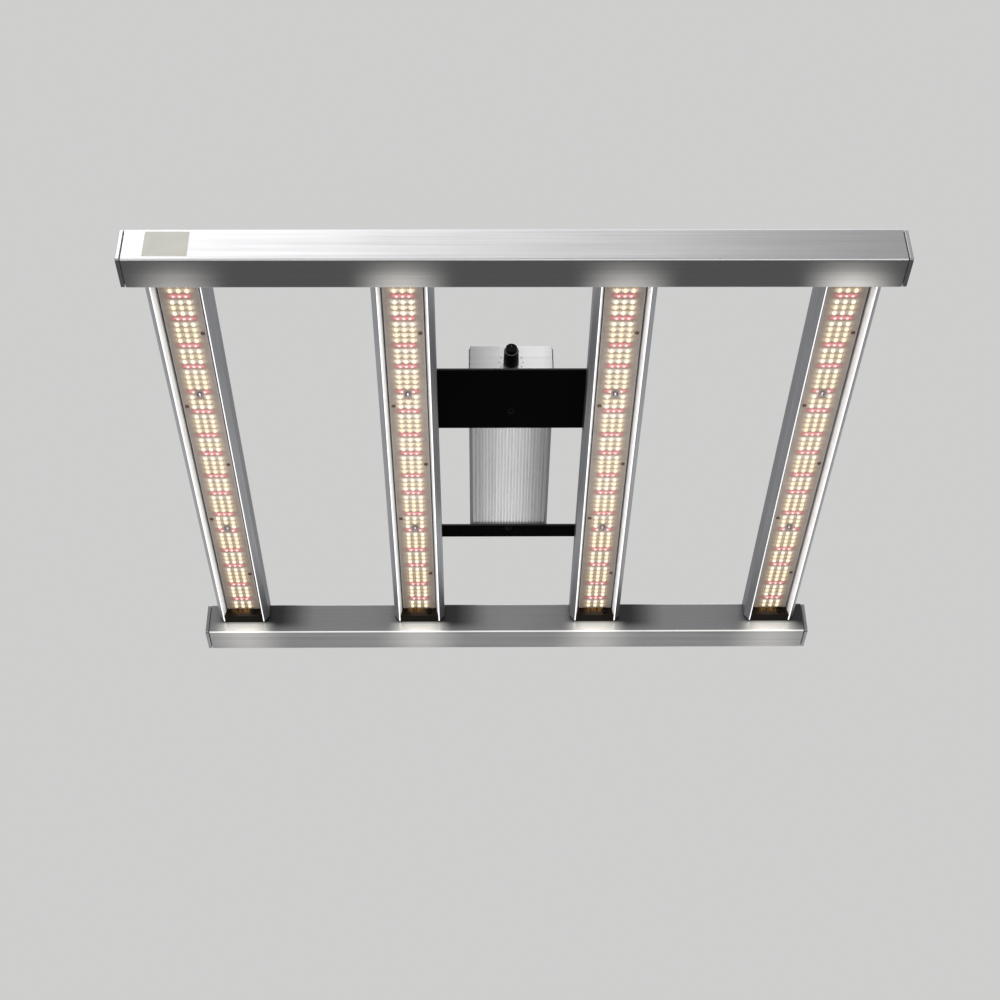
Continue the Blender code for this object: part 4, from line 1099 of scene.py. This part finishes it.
# radius, height from the cable's end
CONNECTOR = [
    (0.0, 30.0), (5.8, 30.0), (5.8, 43.7), (6.1, 44.0), (7.2, 44.0), (7.6, 43.8), (7.85, 43.4),
    (7.9, 42.0), (7.5, 41.6), (7.5, 40.8), (7.9, 40.4), (7.9, 27.0), (8.2, 26.6), (8.55, 26.4),
    (8.6, 26.0)]
CONNECTOR += [(8.6, 26.0 - 11.6 * k / 8) for k in range(1, 9)]
CONNECTOR += [
    (8.5, 14.1), (8.1, 13.6), (8.0, 13.2), (8.0, 9.0), (7.4, 7.6), (6.4, 5.6), (5.7, 4.0),
    (5.4, 2.0), (5.3, 0.3), (5.0, 0.0), (3.7, 0.0), (3.6, 8.0), (0.0, 8.0)]
PIN = ((0.0, 39.0), (0.5, 39.0), (0.8, 38.4), (0.8, 29.9), (0.0, 29.9))
PIN_CIRCLE = 2.9 * MM
to_connector = along_y(INNER_BAR_X * MM, CONNECTOR_LOW.y, CONNECTOR_Z * MM, 1)
connector = flipped(lathe(CONNECTOR[::-1], 108, grips))
piece = add_mesh("mains_inline_connector", moved(connector, to_connector), CABLE,
                 smooth=35)
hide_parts("mains_connector")
pin_angles = [math.radians(90 + 120 * k) for k in range(3)]
pins = copies(lathe(PIN, 16), [(PIN_CIRCLE * math.cos(angle), PIN_CIRCLE * math.sin(angle), 0)
                               for angle in pin_angles])
add_mesh("mains_connector_pins", moved(pins, to_connector), ZINC, smooth=35)

# where the output lead enters the rear beam's cover; radius, height
GROMMET = ((3.55, 2.4), (5.2, 2.4), (6.0, 1.9), (6.3, 0.9), (6.3, 0.25), (3.8, 0.25),
           (3.8, -1.6), (3.55, -1.6), (3.55, 2.4))
grommet = flipped(lathe(GROMMET[::-1], 40))
cover_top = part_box("rear_beam_cover")[1].z
add_mesh("lead_grommet", moved(grommet, Matrix.Translation(
    (-INNER_BAR_X * MM, REAR_MID, cover_top))), CABLE, smooth=35)


# ============================================================ hanging hardware

def ring_path(half):
    """A level D of wire in mm: a straight side at x = 0 and a half circle beyond x = 6."""
    path = [(0, 1.6 - half), (0.45, 0.45 - half), (1.6, -half)]
    path += [(6 + half * math.cos(math.radians(a)), half * math.sin(math.radians(a)))
             for a in np.linspace(-90, 90, 31)]
    path += [(1.6, half), (0.45, half - 0.45), (0, half - 1.6)]
    return path + [(0, y) for y in np.linspace(half - 2.4, 2.4 - half, 9)]


for side in ("front", "rear"):
    for end, way in (("left", 1), ("right", -1)):
        name = "%s_%s" % (side, end)
        saddle = middle("hanging_saddle_" + name)
        low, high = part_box("hanging_ring_" + name)
        z = (low.z + high.z) / 2
        wire = (high.z - low.z) / 2
        half = ((high.y - low.y) / 2 - wire) / MM
        points = [(saddle.x + way * x * MM, saddle.y + y * MM, z) for x, y in ring_path(half)]
        piece = add_mesh("ring_wire_" + name, swept(points, wire * 0.99, 20, closed=True),
                         ZINC, body="ring_" + name, smooth=60)
        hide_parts("hanging_ring_" + name)


# =============================================================== floor, world

def floor_material():
    """Matt paper, lifted a little so that it stays pale away from the lamps."""
    colour, lift = (0.72, 0.72, 0.71), 0.34
    look = Material("pale_floor")
    cloud = look.position().noise(scale=3.0, detail=3.0, roughness=0.5)
    tone = cloud.ramp([(0.3, tuple(c * 0.985 for c in colour)), (0.7, colour)])
    return look.finish(Base_Color=tone, Roughness=0.85, Metallic=0.0, Emission_Color=tone,
                       Emission_Strength=lift)


FLOOR_Z = -1.85
work = bmesh.new()
bmesh.ops.create_grid(work, x_segments=8, y_segments=8, size=40.0)
floor_mesh = bpy.data.meshes.new("floor")
work.to_mesh(floor_mesh)
work.free()
floor_mesh.materials.append(floor_material())
floor = bpy.data.objects.new("floor", floor_mesh)
floor.location = (0, 0, FLOOR_Z)
scene.collection.objects.link(floor)
floor.visible_glossy = False
floor.visible_diffuse = False

# height of the direction from -1 to 1, grey level; towards the rear and towards the front
SKY_REAR = ((-1.0, 0.064), (-0.70, 0.064), (-0.50, 0.11), (-0.40, 0.14), (-0.20, 0.36),
            (0.0, 0.44), (0.25, 0.38), (0.45, 0.32), (0.72, 0.44), (1.0, 0.85))
SKY_FRONT = ((-1.0, 0.09), (-0.85, 0.22), (-0.60, 0.50), (-0.05, 0.46), (0.25, 0.20),
             (0.60, 0.17), (0.80, 0.42), (1.0, 0.85))
SEEN_SKY = (0.62, 0.62, 0.615)             # what the camera sees behind the fixture


def build_world():
    """A graded sky that lights the fixture, and a plain one for the camera."""
    world = bpy.data.worlds.new("studio")
    scene.world = world
    graph = Graph(world)
    surface = graph.restart("OutputWorld")
    _, y, z = graph.output("TexCoord", "Generated").xyz()
    height = z.remap((-1.0, 1.0))
    rear, front = [
        height.ramp([((level_z + 1) / 2, (level, level, level * 1.01))
                     for level_z, level in stops]) for stops in (SKY_REAR, SKY_FRONT)]
    sky = y.remap((-0.05, -0.45), smooth=True).blend(rear, front)
    graph.link(graph.output("MixShader", "Shader", {
        "Fac": graph.output("LightPath", "Is Camera Ray"),
        1: graph.output("Background", "Background", {"Color": sky}),
        2: graph.output("Background", "Background", {"Color": SEEN_SKY})}), surface)


build_world()


# ====================================================================== lights

def softbox(name, spot, look, size, radiance, colour=(1, 1, 1), only=None, glossy=True,
            across=None, fade=None, shadow=True):
    """A soft rectangular light of a given radiance, hidden from the camera.

    It shines from spot towards look, on the pieces in only. across holds (x, level) stops
    that grade it along X; fade is the distance from its middle at which it has faded out."""
    data = bpy.data.lights.new(name, "AREA")
    data.shape = "RECTANGLE"
    data.size, data.size_y = size
    data.energy = radiance * math.pi * size[0] * size[1]
    data.color = colour
    data.spread = math.pi
    if across or fade:
        graph = Graph(data)
        place = graph.output("NewGeometry", "Position")
        if across:
            strength = place.xyz()[0].grade(across)
        else:
            distance = graph.output("VectorMath", "Value", {0: place, 1: spot},
                                    operation="DISTANCE")
            strength = distance.remap((fade, 0.0), smooth=True)
        emission = next(n for n in graph.tree.nodes if n.type == "EMISSION")
        graph.link(strength, emission.inputs["Strength"])
    lamp = bpy.data.objects.new(name, data)
    scene.collection.objects.link(lamp)
    lamp.location = spot
    lamp.rotation_euler = (Vector(look) - Vector(spot)).to_track_quat("-Z", "Y").to_euler()
    lamp.visible_camera = False
    lamp.visible_glossy = glossy
    if only:
        lit = bpy.data.collections.new(name + "_lit")
        for piece in only:
            lit.objects.link(piece)
        lamp.light_linking.receiver_collection = lit
    if not shadow:
        # only the floor casts shadows in this light
        stops = bpy.data.collections.new(name + "_stops")
        stops.objects.link(floor)
        lamp.light_linking.blocker_collection = stops


def direction(azimuth, elevation, distance):
    """A point seen from the middle: azimuth 0 is -Y, and 90 is +X."""
    turn, rise = math.radians(azimuth), math.radians(elevation)
    return (math.sin(turn) * math.cos(rise) * distance,
            -math.cos(turn) * math.cos(rise) * distance, math.sin(rise) * distance)


def pieces(*starts):
    return [o for o in bpy.data.objects if o.type == "MESH" and o.name.startswith(starts)]


MIDDLE = (0, 0, 0)
softbox("top", (0.2, 0.1, 2.4), MIDDLE, size=(2.4, 2.4), radiance=0.75)
softbox("left", direction(-100, 12, 2.8), MIDDLE, size=(1.4, 1.1), radiance=0.5)
softbox("right", direction(105, 18, 2.8), MIDDLE, size=(1.4, 1.1), radiance=0.45)
softbox("behind", direction(160, 8, 3.0), MIDDLE, size=(1.6, 0.9), radiance=0.4)
softbox("front_edge_line", direction(0, -34, 2.2), (0, -0.29, 0), size=(3.4, 2.0),
        radiance=0.8, only=pieces("front_beam", "blank_label"))
softbox("rear_edge_line", direction(0, -46, 2.2), (0, 0.26, 0), size=(3.4, 2.9),
        radiance=0.65, only=pieces("rear_beam"))
FRONT_KEY_GRADE = (                        # x, level
    (-1.5, 0.92), (-0.78, 0.92), (-0.6, 0.87), (-0.39, 0.66), (-0.185, 0.53), (0.02, 0.44),
    (0.226, 0.355), (0.43, 0.25), (0.64, 0.10), (0.9, 0.05), (1.5, 0.03))
softbox("front_key", (0.05, -1.95, 1.66), (0.05, -0.2, -0.05), size=(3.2, 1.5),
        radiance=2.02, only=pieces("front_beam", "beam_end_cap_front", "blank_label"),
        across=FRONT_KEY_GRADE)
softbox("rear_low", (0.0, 2.5, -1.45), (0, 0.27, 0), size=(2.6, 0.9), radiance=0.52,
        only=pieces("rear_beam", "beam_end_cap_rear"))
softbox("driver_low", (0.0, 1.55, -1.2), (0, 0.02, 0.038), size=(2.4, 1.0), radiance=2.0,
        only=pieces("driver_housing"), shadow=False)
softbox("panel_key", direction(20, 44, 2.2), (0, -0.1, 0.06), size=(1.4, 1.2),
        radiance=1.55, only=pieces("driver_front_plate", "dial_"))
for side, azimuth in (("left", -146), ("right", 146)):
    softbox("bar_side_" + side, direction(azimuth, 8, 2.4), (0, 0, 0.02), size=(1.6, 1.4),
            radiance=0.29, only=pieces("led_bar"), shadow=False)

BOARD_SET = pieces("led_board", "led_packages", "led_solder", "board_")
NEAR_SPILL = (0.54, 0.86, 0.72, 1.04)      # radiance at each bar's front end
for i, bar_x in enumerate(BAR_X, 1):
    # light thrown by the LEDs on the bar's own walls, the end blocks and the far beam
    softbox("led_glow_%d" % i, (bar_x, 0, BOARD_Z - 2.2 * MM), (bar_x, 0, -1),
            size=(14 * MM, 484 * MM), radiance=6.0, colour=(1.0, 0.975, 0.94), glossy=False)
    # the same light coming back up to the board
    softbox("board_fill_%d" % i, (bar_x, 0, -120 * MM), (bar_x, 0, 0),
            size=(60 * MM, 520 * MM), radiance=3.1, colour=(1.0, 0.95, 0.92),
            only=[o for o in BOARD_SET if o.name.endswith(("_%d" % i, "_%d_fine" % i))])
    # spill on the two beams where the bar meets them
    softbox("near_spill_%d" % i, (bar_x, -245 * MM, -13 * MM), (bar_x, -262 * MM, 0),
            size=(100 * MM, 26 * MM), radiance=NEAR_SPILL[i - 1], colour=(1.0, 0.98, 0.92),
            only=pieces("front_beam"), fade=46 * MM, shadow=False)
    softbox("far_spill_%d" % i, (bar_x, 247 * MM, 16.5 * MM), (bar_x, 258 * MM, 9 * MM),
            size=(56 * MM, 15 * MM), radiance=0.6, colour=(1.0, 0.975, 0.89),
            only=pieces("rear_beam"), fade=27 * MM, shadow=False)


# ====================================================================== camera
# From in front and below, looking up at the lit side.

CAMERA_PLACE = (-0.0287, -1.2576, -0.9479)
yaw, pitch, roll = math.radians(-0.86), math.radians(36.42), math.radians(0.64)
right = Vector((math.cos(yaw), math.sin(yaw), 0))
level = Vector((-math.sin(yaw), math.cos(yaw), 0))
ahead = level * math.cos(pitch) + Vector((0, 0, 1)) * math.sin(pitch)
above = Vector((0, 0, 1)) * math.cos(pitch) - level * math.sin(pitch)
camera_x = right * math.cos(roll) - above * math.sin(roll)
camera_y = right * math.sin(roll) + above * math.cos(roll)
camera_data = bpy.data.cameras.new("camera")
camera_data.sensor_width = 36.0
camera_data.lens = 61.6788
camera_data.clip_start, camera_data.clip_end = 0.05, 60.0
camera = bpy.data.objects.new("camera", camera_data)
scene.collection.objects.link(camera)
turn = Matrix((camera_x, camera_y, -ahead)).transposed().to_4x4()
camera.matrix_world = Matrix.Translation(CAMERA_PLACE) @ turn
scene.camera = camera
scene.view_settings.view_transform = "Standard"
